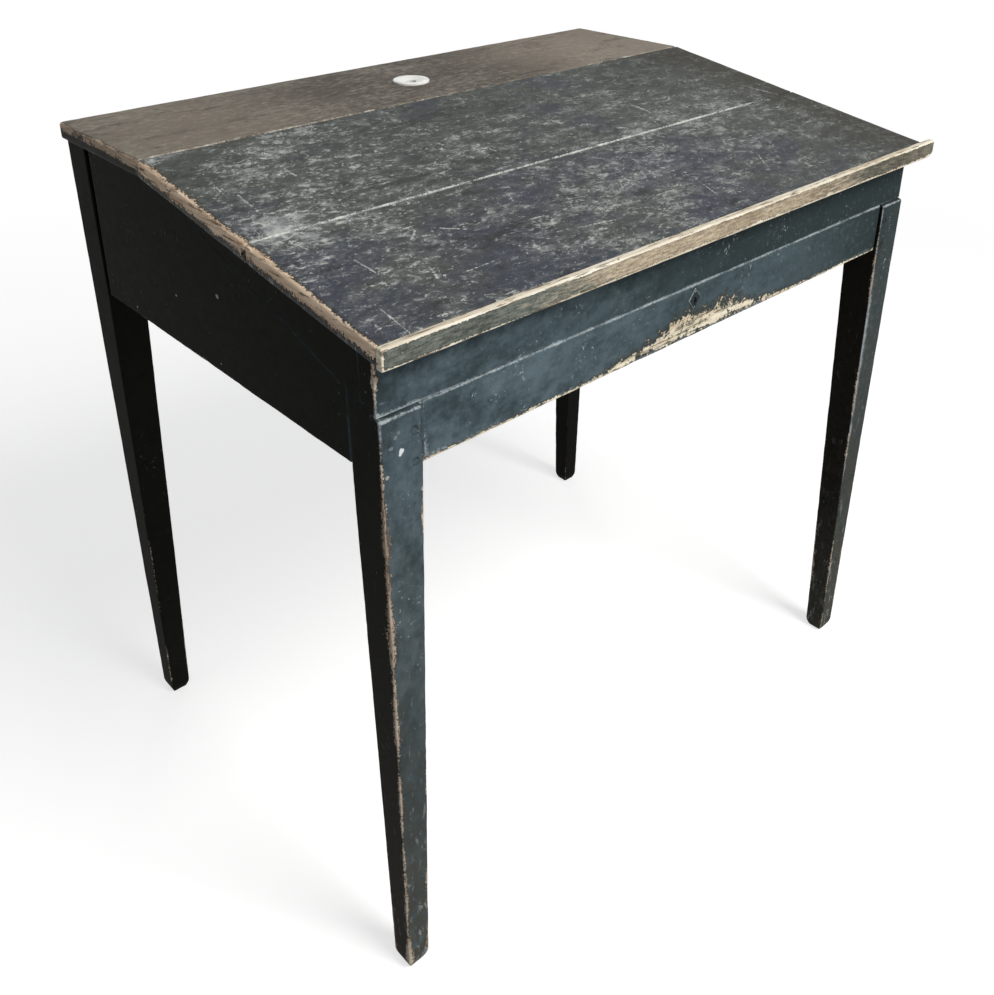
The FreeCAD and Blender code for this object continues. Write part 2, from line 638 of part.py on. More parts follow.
def make_hinge_leaf(name, middle, kind, rearwards):
    """A leaf and its knuckles: the outer two on the fixed leaf, the middle one on the moving leaf."""
    body = new_piece(f"hinge_leaf_{kind}_{name}")
    face = "seam_rear" if rearwards > 0 else "seam_front"
    start = f"{middle} - hinge_length / 2"
    leaf = box_corners(face, f"{face} + {rearwards} * leaf_thickness",
                       "axis_height - hinge_leaf_height", "axis_height")
    block(body, "x", start, "hinge_length", leaf)
    own = (0, 2) if kind == "fixed" else (1,)
    share = f"hinge_length / {KNUCKLES}"
    for number in range(KNUCKLES):
        if number not in own:
            block(body, "x", f"{start} + {number} * {share} - pin_clearance",
                  f"{share} + 2 * pin_clearance",
                  box_corners(face, f"{face} + {rearwards} * leaf_thickness",
                              "axis_height - barrel_room", "axis_height"), cut=True)
    for number in own:
        cylinders(body, "x", f"{start} + {number} * {share} + pin_clearance",
                  f"{share} - 2 * pin_clearance", [("hinge_line", "axis_height")], "barrel_radius")
    cylinders(body, "x", start, "hinge_length", [("hinge_line", "axis_height")],
              "pin_radius + pin_clearance", cut=True)
    hole_start = face if rearwards > 0 else f"{face} - leaf_thickness"
    screws = [(f"{middle} + {offset} * hinge_screw_pitch", "axis_height - hinge_screw_drop")
              for offset in (-1, 0, 1)]
    cylinders(body, "y", hole_start, "leaf_thickness", screws, "screw_radius", cut=True)
    head_start = face if rearwards > 0 else f"{face} - screw_head_height"
    cylinders(body, "y", head_start, "screw_head_height", screws, "screw_head_radius", cut=True)


def make_hinges():
    for name, middle in zip(SIDES, hinge_middles()):
        make_hinge_leaf(name, middle, "fixed", 1)
        make_hinge_leaf(name, middle, "moving", -1)
        pin = new_piece(f"hinge_pin_{name}")
        cylinders(pin, "x", f"{middle} - hinge_length / 2", "hinge_length",
                  [("hinge_line", "axis_height")], "pin_radius")
    for kind, face, rearwards in (("fixed", "seam_rear", 1), ("moving", "seam_front", -1)):
        screws = new_piece(f"hinge_screws_{kind}")
        head_start = face if rearwards > 0 else f"{face} - screw_head_height"
        cylinders(screws, "y", head_start, "screw_head_height", HINGE_SCREWS, "screw_head_radius")
        shank_start = face if rearwards > 0 else f"{face} - hinge_screw_length"
        cylinders(screws, "y", shank_start, "hinge_screw_length", HINGE_SCREWS, "screw_radius")


RAIL_PLACES = [f"{step} * half_frame" for step in (-0.75, -0.25, 0.25, 0.75)]
WEDGE_PLACES = both_sides("half_frame - panel_thickness / 2")
LID_NAIL_ROWS = {
    "front": [("(apron_setback + panel_thickness / 2)", RAIL_PLACES),
              ("(apron_back + 0.3 * (board_joint - apron_back))", WEDGE_PLACES),
              ("(apron_back + 0.8 * (board_joint - apron_back))", WEDGE_PLACES)],
    "rear": [("(board_joint + 0.25 * (wedge_end - board_joint))", WEDGE_PLACES)],
}


def nail_row(body, depth, places, cut):
    """A row of nails down through a lid board, or the holes for them."""
    start = f"{lid_top(depth)} - nail_cover - nail_length"
    cylinders(body, "z", start, "nail_length", [(across, depth) for across in places],
              "nail_radius", cut=cut)


def make_lid_boards():
    """Two boards with a tongue and groove between them."""
    front_edge = "-lid_front_overhang"
    half_tongue = "tongue_thickness / 2"
    half_groove = "(tongue_thickness / 2 + tongue_play)"
    tongue_end = "board_joint + tongue_length"
    groove_start = "board_joint + board_gap"
    groove_end = "board_joint + board_gap + tongue_length"

    def core(depth):
        return f"({lid_top(depth)} - board_rise / 2)"

    front = new_piece("lid_board_front")
    block(front, "x", "-half_top", "2 * half_top",
          [(front_edge, lid_under(front_edge)), ("board_joint", lid_under("board_joint")),
           ("board_joint", lid_top("board_joint")), (front_edge, lid_top(front_edge))])
    round_edges(front, "edge_radius",
                lambda edge, box: abs(edge.CenterOfMass.x) > box.XMax - 1e-3
                and not runs_along(edge, "z"))
    block(front, "x", "-half_top + edge_radius", "2 * (half_top - edge_radius)",
          [("board_joint - tongue_length", f"{core('board_joint - tongue_length')} - {half_tongue}"),
           (tongue_end, f"{core(tongue_end)} - {half_tongue}"),
           (tongue_end, f"{core(tongue_end)} + {half_tongue}"),
           ("board_joint - tongue_length", f"{core('board_joint - tongue_length')} + {half_tongue}")])

    rear = new_piece("lid_board_rear")
    block(rear, "x", "-half_top", "2 * half_top",
          [(groove_start, lid_under(groove_start)), ("seam_front", lid_under("seam_front")),
           ("seam_front", lid_top("seam_front")), (groove_start, lid_top(groove_start))])
    round_edges(rear, "seam_radius",
                lambda edge, box: runs_along(edge, "x") and edge.CenterOfMass.z > box.ZMax - 1e-3)
    round_edges(rear, "edge_radius", lambda edge, box: abs(edge.CenterOfMass.x) > box.XMax - 1e-3)
    block(rear, "x", "-half_top", "2 * half_top",
          [(groove_start, f"{core(groove_start)} - {half_groove}"),
           (groove_end, f"{core(groove_end)} - {half_groove}"),
           (groove_end, f"{core(groove_end)} + {half_groove}"),
           (groove_start, f"{core(groove_start)} + {half_groove}")], cut=True)
    cut_hinge_room(rear, -1)
    for board, rows in ((front, LID_NAIL_ROWS["front"]), (rear, LID_NAIL_ROWS["rear"])):
        for depth, places in rows:
            nail_row(board, depth, places, cut=True)
    cylinders(front, "y", "-lid_front_overhang", "brad_length - nosing_thickness", NOSING_NAILS,
              "brad_radius", cut=True)


NOSING_NAIL_STEPS = (-0.95, -0.6, -0.2, 0.2, 0.6, 0.95)
NOSING_FRONT = "-lid_front_overhang - nosing_thickness"
NOSING_NAILS = [(f"{step} * half_top", f"{lid_top('-lid_front_overhang')} - board_rise / 2")
                for step in NOSING_NAIL_STEPS]


def make_nosing():
    """Strip on the front edge of the lid. It runs on past the lid's right end, rounded below."""
    body = new_piece("nosing_strip")
    top = lid_top("-lid_front_overhang")
    block(body, "x", "-half_top", "2 * half_top + nosing_overhang",
          box_corners(NOSING_FRONT, "-lid_front_overhang", f"{top} - nosing_height", top))
    round_edges(body, "nosing_end_radius",
                lambda edge, box: runs_along(edge, "y") and edge.CenterOfMass.z < box.ZMin + 1e-3
                and edge.CenterOfMass.x > box.XMax - 1e-3)
    round_edges(body, "edge_radius",
                lambda edge, box: runs_along(edge, "x") and edge.CenterOfMass.y < box.YMin + 1e-3
                and edge.CenterOfMass.z > box.ZMax - 1e-3)
    cylinders(body, "y", NOSING_FRONT, "nosing_thickness", NOSING_NAILS, "brad_radius", cut=True)

    nails = new_piece("nosing_nails")
    cylinders(nails, "y", NOSING_FRONT, "brad_length", NOSING_NAILS, "brad_radius")


def make_lid_rail():
    """Front rail of the lid, on the rim plane."""
    body = new_piece("lid_front_rail")
    profile = [("apron_setback", f"{rim('apron_setback')} + lid_gap"),
               ("apron_back", f"{rim('apron_back')} + lid_gap"),
               ("apron_back", lid_under("apron_back")), ("apron_setback", lid_under("apron_setback"))]
    block(body, "x", "-half_frame", "frame_width", profile)
    round_edges(body, "arris_radius",
                lambda edge, box: edge.CenterOfMass.y < box.YMin + 1e-3 and runs_along(edge, "z"))
    nail_row(body, *LID_NAIL_ROWS["front"][0], cut=True)
    block(body, "x", "-link_length / 2", "link_length", link_profile(), cut=True)
    link_screws(body, cut=True)


def make_wedges():
    """Wedges that close the sides under the lid boards."""
    profile = [("apron_back", f"{rim('apron_back')} + lid_gap"),
               ("wedge_end", f"{rim('wedge_end')} + lid_gap"),
               ("wedge_end", lid_under("wedge_end")), ("apron_back", lid_under("apron_back"))]
    for name, side in SIDES.items():
        body = new_piece(f"lid_wedge_{name}")
        start = "half_frame - panel_thickness" if side > 0 else "-half_frame"
        block(body, "x", start, "panel_thickness", profile)
        for depth, places in LID_NAIL_ROWS["front"][1:] + LID_NAIL_ROWS["rear"]:
            nail_row(body, depth, [across for across in places if across.startswith(f"{side} ")],
                     cut=True)


def make_nails():
    lid_nails = new_piece("lid_nails")
    for rows in LID_NAIL_ROWS.values():
        for depth, places in rows:
            nail_row(lid_nails, depth, places, cut=False)
    board_nails = new_piece("back_board_nails")
    cylinders(board_nails, "z", "top_height - nail_cover - nail_length", "nail_length",
              SIDE_NAILS + BACK_NAILS, "nail_radius")


# ---------------------------------------------------------------- lock and escutcheon

LOCK_SCREWS = [(across, "lock_screw_depth") for across in both_sides("lock_screw_spacing / 2")]
LINK_SCREWS = [(across, "bolt_middle") for across in both_sides("link_screw_spacing / 2")]
ESCUTCHEON_PINS = [("0", f"keyhole_height + {way} * escutcheon_height * 0.36") for way in (-1, 1)]
GUIDE_PINS = [(across, "bar_bottom + bolt_bar_height / 2")
              for across in both_sides("guide_pin_spacing / 2")]
STAPLE_MIDDLES = both_sides("staple_spacing / 2")
FINGER_ROOT = "(staple_thickness / 2 + bolt_clearance + bolt_finger)"


def selvedge_profile():
    """The selvedge let into the rim plane."""
    front = "apron_back - selvedge_width"
    return [(front, f"{rim(front)} - selvedge_thickness"),
            ("apron_back", f"{rim('apron_back')} - selvedge_thickness"),
            ("apron_back", rim("apron_back")), (front, rim(front))]


def link_profile():
    """The link plate let into the underside of the lid rail."""
    front = "lock_front"
    return [(front, f"{rim(front)} + lid_gap"), ("apron_back", f"{rim('apron_back')} + lid_gap"),
            ("apron_back", f"{rim('apron_back')} + lid_gap + link_thickness"),
            (front, f"{rim(front)} + lid_gap + link_thickness")]


def lock_screws(body, cut):
    """Screws down through the selvedge into the apron, or the room for them."""
    top = rim("lock_screw_depth - screw_head_radius")
    head_room = "screw_head_height + selvedge_thickness" if cut else "screw_head_height"
    cylinders(body, "z", f"{top} - screw_head_height", head_room, LOCK_SCREWS,
              "screw_head_radius", cut=cut)
    cylinders(body, "z", f"{top} - lock_screw_length", "lock_screw_length", LOCK_SCREWS,
              "screw_radius", cut=cut)


def link_screws(body, cut):
    """Screws up through the link plate into the lid rail, or the room for them."""
    foot = f"{rim('bolt_middle + screw_head_radius')} + lid_gap"
    head_room = "link_thickness" if cut else "0"
    cylinders(body, "z", f"{foot} - {head_room}", f"screw_head_height + {head_room}", LINK_SCREWS,
              "screw_head_radius", cut=cut)
    cylinders(body, "z", foot, "lock_screw_length", LINK_SCREWS, "screw_radius", cut=cut)


def make_lock():
    """Box lock let into the apron: case, cap with key pin, selvedge and sliding bolt."""
    case = new_piece("lock_case")
    inner_front = "lock_front + case_wall"
    top_front = f"{rim('lock_front')} - selvedge_thickness"
    top_back = f"{rim('apron_back')} - selvedge_thickness"
    block(case, "x", "-lock_width / 2", "lock_width",
          [("lock_front", "lock_floor"), ("apron_back", "lock_floor"),
           ("apron_back", top_back), ("lock_front", top_front)])
    block(case, "x", "-lock_width / 2 + case_wall", "lock_width - 2 * case_wall",
          [(inner_front, "lock_floor + case_wall"), ("apron_back", "lock_floor + case_wall"),
           ("apron_back", top_back), (inner_front, f"{rim(inner_front)} - selvedge_thickness")], cut=True)
    keyhole(case, "lock_front", "case_wall")

    cap = new_piece("lock_cap")
    inner_back = "apron_back - case_wall"
    block(cap, "x", "-lock_width / 2 + case_wall", "lock_width - 2 * case_wall",
          [(inner_back, "lock_floor + case_wall"), ("apron_back", "lock_floor + case_wall"),
           ("apron_back", top_back), (inner_back, f"{rim(inner_back)} - selvedge_thickness")])
    cylinders(cap, "y", "lock_front", "lock_depth", [("0", "keyhole_height")], "key_pin_radius")
    pin_start = "bolt_middle - bolt_thickness"
    cylinders(cap, "y", pin_start, f"{inner_back} - ({pin_start})", GUIDE_PINS, "guide_pin_radius")

    selvedge = new_piece("lock_selvedge")
    block(selvedge, "x", "-selvedge_length / 2", "selvedge_length", selvedge_profile())
    for middle in STAPLE_MIDDLES:
        block(selvedge, "z", "rim_height - selvedge_thickness", "selvedge_width",
              box_corners(f"{middle} - staple_thickness", f"{middle} + staple_thickness",
                          inner_front, inner_back), cut=True)
    lock_screws(selvedge, cut=True)
    lock_screws(new_piece("lock_screws"), cut=False)

    make_bolt()


def make_bolt():
    """Bolt: a slotted bar, notched round the key pin, with a finger beside each staple."""
    body = new_piece("lock_bolt")
    start = "bolt_middle - bolt_thickness / 2"
    bar_end = "guide_pin_spacing / 2 + guide_pin_radius + guide_play + bolt_clearance"
    block(body, "y", start, "bolt_thickness",
          box_corners(f"-staple_spacing / 2 - {FINGER_ROOT} - bolt_prong", bar_end,
                      "bar_bottom", "bar_top"))
    for middle in STAPLE_MIDDLES:
        root = f"{middle} - {FINGER_ROOT}"
        block(body, "y", start, "bolt_thickness",
              box_corners(f"{root} - bolt_prong", root, "bar_bottom", "bolt_top"))
        block(body, "y", start, "bolt_thickness",
              box_corners(root, f"{root} + bolt_finger", "eye_bottom + bolt_clearance", "bolt_top"))
    room = "(key_pin_radius + bolt_clearance)"
    block(body, "y", start, "bolt_thickness",
          box_corners(f"-bolt_travel - {room}", room, "bar_bottom", f"keyhole_height + {room}"),
          cut=True)
    slot = "(guide_pin_radius + guide_play)"
    for across, up in GUIDE_PINS:
        block(body, "y", start, "bolt_thickness",
              box_corners(f"{across} - bolt_travel - {slot}", f"{across} + {slot}",
                          f"{up} - {slot}", f"{up} + {slot}"), cut=True)


def make_link_plate():
    """Link plate under the lid rail, with two staples that hang into the lock."""
    body = new_piece("link_plate")
    block(body, "x", "-link_length / 2", "link_length", link_profile())
    front = "staple_back - staple_width"
    for middle in STAPLE_MIDDLES:
        block(body, "x", f"{middle} - staple_thickness / 2", "staple_thickness",
              [(front, "staple_tip"), ("staple_back", "staple_tip"),
               ("staple_back", f"{rim('staple_back')} + lid_gap + link_thickness"),
               (front, f"{rim(front)} + lid_gap + link_thickness")])
        block(body, "x", f"{middle} - staple_thickness / 2", "staple_thickness",
              box_corners(f"{front} + staple_wall", "staple_back - staple_wall", "eye_bottom",
                          "eye_bottom + eye_height"), cut=True)
    link_screws(body, cut=True)
    link_screws(new_piece("link_screws"), cut=False)


def make_escutcheon():
    body = new_piece("escutcheon")
    outline = [("0", "keyhole_height + escutcheon_height / 2"),
               ("-escutcheon_width / 2", "keyhole_height"),
               ("0", "keyhole_height - escutcheon_height / 2"),
               ("escutcheon_width / 2", "keyhole_height")]
    front = "apron_setback - escutcheon_thickness"
    block(body, "y", front, "escutcheon_thickness", outline)
    keyhole(body, front, "escutcheon_thickness")
    cylinders(body, "y", front, "escutcheon_thickness", ESCUTCHEON_PINS, "escutcheon_pin_radius", cut=True)
    pins = new_piece("escutcheon_pins")
    cylinders(pins, "y", front, "escutcheon_pin_length", ESCUTCHEON_PINS, "escutcheon_pin_radius")


# ---------------------------------------------------------------- inkwell

def make_inkwell():
    """Porcelain inkwell, turned about its own axis: rim, tapered body, hollow and pen hole."""
    body = new_piece("inkwell")
    body.setExpression("Placement.Base.x", expression("middle_shift + inkwell_shift"))
    body.setExpression("Placement.Base.y", expression("front_shift + inkwell_middle"))
    sketch = new_sketch(body, "y", "0")
    base = "top_height - inkwell_depth"
    rim_top = "top_height + inkwell_rim_height"
    shoulder = "top_height - inkwell_wall"
    draw_outline(sketch, [
        ("0", base), ("inkwell_foot_radius", base), ("inkwell_body_radius", "top_height"),
        ("inkwell_rim_radius", "top_height"), ("inkwell_rim_radius", f"{rim_top} - 1"),
        ("inkwell_rim_radius - 1", rim_top), ("inkwell_body_radius", rim_top),
        ("inkwell_mouth_radius", "top_height + inkwell_rim_height / 2 - inkwell_wall / 3"),
        ("inkwell_mouth_radius", shoulder), ("inkwell_body_radius - inkwell_wall", shoulder),
        ("inkwell_foot_radius - inkwell_wall", f"{base} + inkwell_wall"),
        ("0", f"{base} + inkwell_wall")])
    turned = body.newObject("PartDesign::Revolution", "inkwell_turned")
    turned.Profile = sketch
    turned.ReferenceAxis = (sketch, ["V_Axis"])
    turned.Angle = 360


# ---------------------------------------------------------------- build, check and write

def check_document():
    """Stop if any object failed or any sub-part isn't a sound solid."""
    failed = [item.Label for item in document.Objects
              if "Invalid" in item.State or "Error" in item.State]
    unsound = [part.Label for part in sub_parts
               if part.Shape.isNull() or not part.Shape.isValid() or not part.Shape.Solids]
    if failed or unsound:
        raise RuntimeError(f"failed: {failed}, without a sound solid: {unsound}")


def write_parts():
    os.makedirs("parts", exist_ok=True)
    for part in sub_parts:
        part.Shape.exportStep(f"parts/{part.Label}.step")
        print(f"{part.Label}: {len(part.Shape.Solids)} solids, {part.Shape.Volume / 1000:.2f} cm3")


def main():
    make_sheet()
    make_legs()
    make_apron()
    for name, side in SIDES.items():
        make_side_panel(name, side)
    make_back_panel()
    make_bottom_boards()
    make_ledgers()
    make_bottom_nails()
    make_pegs()
    make_back_board()
    make_hinges()
    make_lid_boards()
    make_nosing()
    make_lid_rail()
    make_wedges()
    make_nails()
    make_lock()
    make_link_plate()
    make_escutcheon()
    make_inkwell()
    document.recompute()
    check_document()
    write_parts()


main()
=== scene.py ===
import math

import bmesh
import bpy
import numpy as np
from mathutils import Matrix, Vector, noise


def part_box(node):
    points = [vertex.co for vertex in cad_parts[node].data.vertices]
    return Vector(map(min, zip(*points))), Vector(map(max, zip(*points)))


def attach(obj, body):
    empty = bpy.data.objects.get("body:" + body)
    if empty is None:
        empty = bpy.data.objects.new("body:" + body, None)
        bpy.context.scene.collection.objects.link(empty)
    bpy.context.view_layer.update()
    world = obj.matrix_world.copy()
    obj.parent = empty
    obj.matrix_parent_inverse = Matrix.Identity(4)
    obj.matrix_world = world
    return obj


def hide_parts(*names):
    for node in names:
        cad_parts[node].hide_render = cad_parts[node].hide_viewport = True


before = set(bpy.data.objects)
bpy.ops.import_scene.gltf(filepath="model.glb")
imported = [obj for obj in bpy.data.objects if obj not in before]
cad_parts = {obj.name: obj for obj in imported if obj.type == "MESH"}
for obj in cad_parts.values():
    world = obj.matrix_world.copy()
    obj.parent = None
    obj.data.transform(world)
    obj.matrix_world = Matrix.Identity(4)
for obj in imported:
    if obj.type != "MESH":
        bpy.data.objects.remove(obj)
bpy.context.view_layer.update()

MM = 0.001

# ---------------- places read from the frame

box = {name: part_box(name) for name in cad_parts}


def low(node, axis):
    return box[node][0]["xyz".index(axis)]


def high(node, axis):
    return box[node][1]["xyz".index(axis)]


RIM_GAP = 0.4 * MM            # closed lid to the carcass
SEAM_GAP = 0.6 * MM           # open joint between the two lid boards
FOOT_WIDTH = 26 * MM
FOOT_BEVEL = 4 * MM
FOOT_BEVEL_HEIGHT = 10 * MM
REAR_GAP_BOTTOM = 6 * MM      # open shoulder between a side panel and its rear leg
REAR_GAP_TOP = 10 * MM
PEG_RADIUS = 3.5 * MM

left_face = low("leg_front_left", "x")
right_face = high("leg_front_right", "x")
shoulder_left = high("leg_front_left", "x")
shoulder_right = low("leg_front_right", "x")
front_face = low("leg_front_left", "y")
leg_width = shoulder_left - left_face
apron_front = low("lid_front_rail", "y")
apron_back = high("lid_front_rail", "y")
rail_bottom = low("front_apron", "z")
board_under = low("back_board", "z")
top_height = high("back_board", "z")
hinge_seam = low("back_board", "y")
lid_front = low("lid_board_front", "y")
board_seam = low("lid_board_rear", "y")
lid_seam = high("lid_board_rear", "y")
rim_slope = ((high("leg_front_left", "z") - high("front_apron", "z"))
             / (high("leg_front_left", "y") - apron_back))
lid_slope = (low("lid_board_rear", "z") - low("lid_board_front", "z")) / (board_seam - lid_front)
lid_rise = high("lid_board_front", "z") - low("lid_board_rear", "z") + lid_slope * SEAM_GAP


def rim(y):
    """Height of the plane between the carcass and the lid."""
    return high("front_apron", "z") + rim_slope * (y - apron_back)


def lid_under(y):
    """Height of the underside of the lid boards."""
    return low("lid_board_front", "z") + lid_slope * (y - lid_front)


def lid_top(y):
    """Height of the upper surface of the lid boards."""
    return lid_under(y) + lid_rise


# ---------------- worn blocks

FACES = ("left", "right", "front", "back", "bottom", "top")
ARRISES = [(one, other) for number, one in enumerate(FACES) for other in FACES[number + 1:]
           if FACES.index(one) // 2 != FACES.index(other) // 2]
ROUND_STEPS = (0, 0.14, 0.34, 0.62, 1.0, 1.7, 2.8, 4.6)
SMOOTH_ANGLE = math.radians(42)
FACING_LIGHT_AND_FADE = (1, 0.45, 0.45, 0.5)   # painted light and shade by facing, partly daylight bleaching: lit paint on faces turned front, back, up and right; the rest in shade


class Block:
    """A six-sided block. Each side is a coordinate, or a function of the two others (x, y, z order)."""

    def __init__(self, **sides):
        self.sides = [sides[face] for face in FACES]

    def side_places(self, points):
        """Coordinates of the six sides beside each point."""
        x, y, z = points.T
        beside = ((y, z), (y, z), (x, z), (x, z), (x, y), (x, y))
        return np.stack([side(*others) if callable(side) else np.full_like(x, side)
                         for side, others in zip(self.sides, beside)], axis=1)

    def depths(self, points):
        """How far each point lies inside the six sides."""
        return (np.repeat(points, 2, axis=1) - self.side_places(points)) * (1, -1, 1, -1, 1, -1)

    def place(self, shares):
        """Points at these shares of the way across, back and up."""
        points = np.zeros_like(shares)
        for _ in range(4):
            sides = self.side_places(points)
            points = sides[:, ::2] + shares * (sides[:, 1::2] - sides[:, ::2])
        return points

    def middle_sizes(self):
        """Sizes along x, y and z through the middle."""
        lows, highs = np.split(self.place(0.5 + 0.5 * np.concatenate([-np.eye(3), np.eye(3)])), 2)
        return np.linalg.norm(highs - lows, axis=1)


def node_block(node, **sides):
    """A block as large as a node, apart from the sides that are given."""
    corners = [corner for axis in "xyz" for corner in (low(node, axis), high(node, axis))]
    return Block(**{**dict(zip(FACES, corners)), **sides})


def at(value, points):
    """A number for all points, or a function of x, y and z at each of them."""
    return value(*points.T) if callable(value) else value


def ramp(value, start, end):
    """0 before start, 1 after end, straight between."""
    return np.clip((value - start) / (end - start), 0, 1)


def hump(value, middle, spread):
    return np.exp(-((value - middle) / spread) ** 2)


def end_round(along, end, radius):
    """How far a surface falls away towards a rounded end."""
    short = np.clip(radius - np.abs(along - end), 0, radius)
    return radius - np.sqrt(radius ** 2 - short ** 2)


def shares_along(length, spacing, radius):
    """Shares of a length: close together at both ends, evenly spaced between."""
    near = [step * radius for step in ROUND_STEPS if step * radius < 0.42 * length]
    while near[-1] + 1.6 * (near[-1] - near[-2]) < 0.4 * length and near[-1] - near[-2] < spacing:
        near.append(near[-1] + 1.6 * (near[-1] - near[-2]))
    count = max(1, round((length - 2 * near[-1]) / spacing))
    middle = [near[-1] + (length - 2 * near[-1]) * number / count for number in range(1, count)]
    return np.array(near + middle + [length - step for step in reversed(near)]) / length


def rumple(points, size, seed):
    """Smooth noise between about -1 and 1, with bumps of this size."""
    shift = Vector((seed * 7.31, seed * 3.77, seed * 5.13))
    return np.array([noise.noise(Vector(point) / size + shift) for point in points])


def surface_lattice(counts):
    """Lattice places on the six faces of a block, and the quads between them."""
    index = -np.ones(counts, int)
    inner = np.zeros(counts, bool)
    inner[1:-1, 1:-1, 1:-1] = True
    places = np.argwhere(~inner)
    index[tuple(places.T)] = np.arange(len(places))
    quads = []
    for axis in range(3):
        for end in (0, -1):
            sheet = np.take(index, end, axis=axis)
            corners = [sheet[:-1, :-1], sheet[1:, :-1], sheet[1:, 1:], sheet[:-1, 1:]]
            if (axis == 1) != (end == 0):
                corners.reverse()
            quads.append(np.stack([corner.ravel() for corner in corners], axis=1))
    return places, np.concatenate(quads)


def worn_mesh(block, spacing, radius, nicks, seed):
    """The block with its arrises rounded unevenly and nicked, and its faces slightly uneven."""
    along = [shares_along(size, spacing, radius) for size in block.middle_sizes()]
    places, quads = surface_lattice([len(shares) for shares in along])
    shares = np.stack([along[axis][places[:, axis]] for axis in range(3)], axis=1)
    points = block.place(shares)
    spans = []
    for axis in range(3):
        near, far = shares.copy(), shares.copy()
        near[:, axis], far[:, axis] = 0, 1
        spans.append(np.linalg.norm(block.place(far) - block.place(near), axis=1))
    spans = np.stack(spans, axis=1)
    from_low = shares * spans
    from_high = spans - from_low
    depth = np.minimum(from_low, from_high)
    reach = radius * (1 + 0.45 * rumple(points, 35 * MM, seed) + 0.25 * rumple(points, 9 * MM, seed + 1))
    reach = np.minimum(np.maximum(reach, 0.35 * radius), 0.46 * spans.min(axis=1))[:, None]
    short = np.maximum(reach - depth, 0)
    outward = short / np.linalg.norm(short, axis=1, keepdims=True)
    rounded = np.where(short > 0, reach - outward * reach, depth)
    cornering = np.sort(short / reach, axis=1)[:, 1]
    chip = np.clip(rumple(points, 16 * MM, seed + 2) - 0.25, 0, 1) + 0.5 * np.clip(
        rumple(points, 6 * MM, seed + 3) - 0.3, 0, 1)
    unevenness = 0.5 + 0.5 * rumple(points, 90 * MM, seed + 4)
    sink = 0.05 * MM + 0.22 * MM * unevenness + nicks * chip * cornering
    rounded = rounded + outward * sink[:, None]
    return block.place(np.where(from_low < from_high, rounded, spans - rounded) / spans), quads


def link_object(name, data):
    made = bpy.data.objects.new(name, data)
    bpy.context.scene.collection.objects.link(made)
    return made


def mesh_object(name, points, faces):
    mesh = bpy.data.meshes.new(name)
    mesh.from_pydata([tuple(point) for point in points], [], [tuple(int(i) for i in face) for face in faces])
    mesh.update()
    return link_object(name, mesh)


def cad_copy(node):
    """A copy of a CAD node with its split edges joined."""
    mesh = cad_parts[node].data.copy()
    work = bmesh.new()
    work.from_mesh(mesh)
    bmesh.ops.remove_doubles(work, verts=work.verts, dist=1e-6)
    work.to_mesh(mesh)
    work.free()
    return link_object(node + "_copy", mesh)


def combine(target, other, operation):
    """Boolean of two meshes, applied; the other object is removed."""
    modifier = target.modifiers.new("combine", "BOOLEAN")
    modifier.operation = operation
    modifier.solver = "EXACT"
    modifier.object = other
    graph = bpy.context.evaluated_depsgraph_get()
    result = bpy.data.meshes.new_from_object(target.evaluated_get(graph))
    target.modifiers.clear()
    target.data = result
    bpy.data.objects.remove(other)


def vertex_vectors(mesh, kind="co"):
    """Places of the vertices, or their normals, one to a row."""
    values = np.zeros(len(mesh.vertices) * 3)
    mesh.vertices.foreach_get(kind, values)
    return values.reshape(-1, 3)


def add_attribute(mesh, name, values):
    attribute = mesh.attributes.new(name, "FLOAT", "POINT")
    attribute.data.foreach_set("value", np.asarray(values, np.float32))


def raise_attribute(mesh, name, values):
    """Lift an attribute to these values where they are larger."""
    present = np.zeros(len(mesh.vertices), np.float32)
    mesh.attributes[name].data.foreach_get("value", present)
    mesh.attributes[name].data.foreach_set("value", np.maximum(present, values).astype(np.float32))


def arris_amount(block, points, reaches, seed, patchy):
    """0 far from the arrises, 1 at the reach (in mm) of their wear, 2 on an arris."""
    depths = np.maximum(block.depths(points), 0)
    waviness = 1 + patchy * (1.3 * rumple(points, 60 * MM, seed) + 0.5 * rumple(points, 14 * MM, seed + 1))
    amount = np.zeros(len(points))
    for one, other in ARRISES:
        reach = at(reaches.get(f"{one} {other}", reaches.get("else", 0)), points) * MM
        distance = np.hypot(depths[:, FACES.index(one)], depths[:, FACES.index(other)])
        amount = np.maximum(amount, 2 - distance / np.maximum(reach * waviness, 0.15 * MM))
    return amount


def face_amount(block, points, shares):
    """The share given for a face on that face, and nothing deeper inside the piece."""
    depths = np.maximum(block.depths(points), 0)
    amount = np.zeros(len(points))
    for face, share in shares.items():
        nearness = ramp(depths[:, FACES.index(face)], 3 * MM, 1.5 * MM)
        amount = np.maximum(amount, at(share, points) * nearness)
    return amount


def finish_piece(piece, body, material, slot, *replaced):
    mesh = piece.data
    mesh.materials.clear()
    mesh.materials.append(material)
    mesh.polygons.foreach_set("use_smooth", [True] * len(mesh.polygons))
    mesh.set_sharp_from_angle(angle=SMOOTH_ANGLE)
    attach(piece, body)
    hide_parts(*replaced)


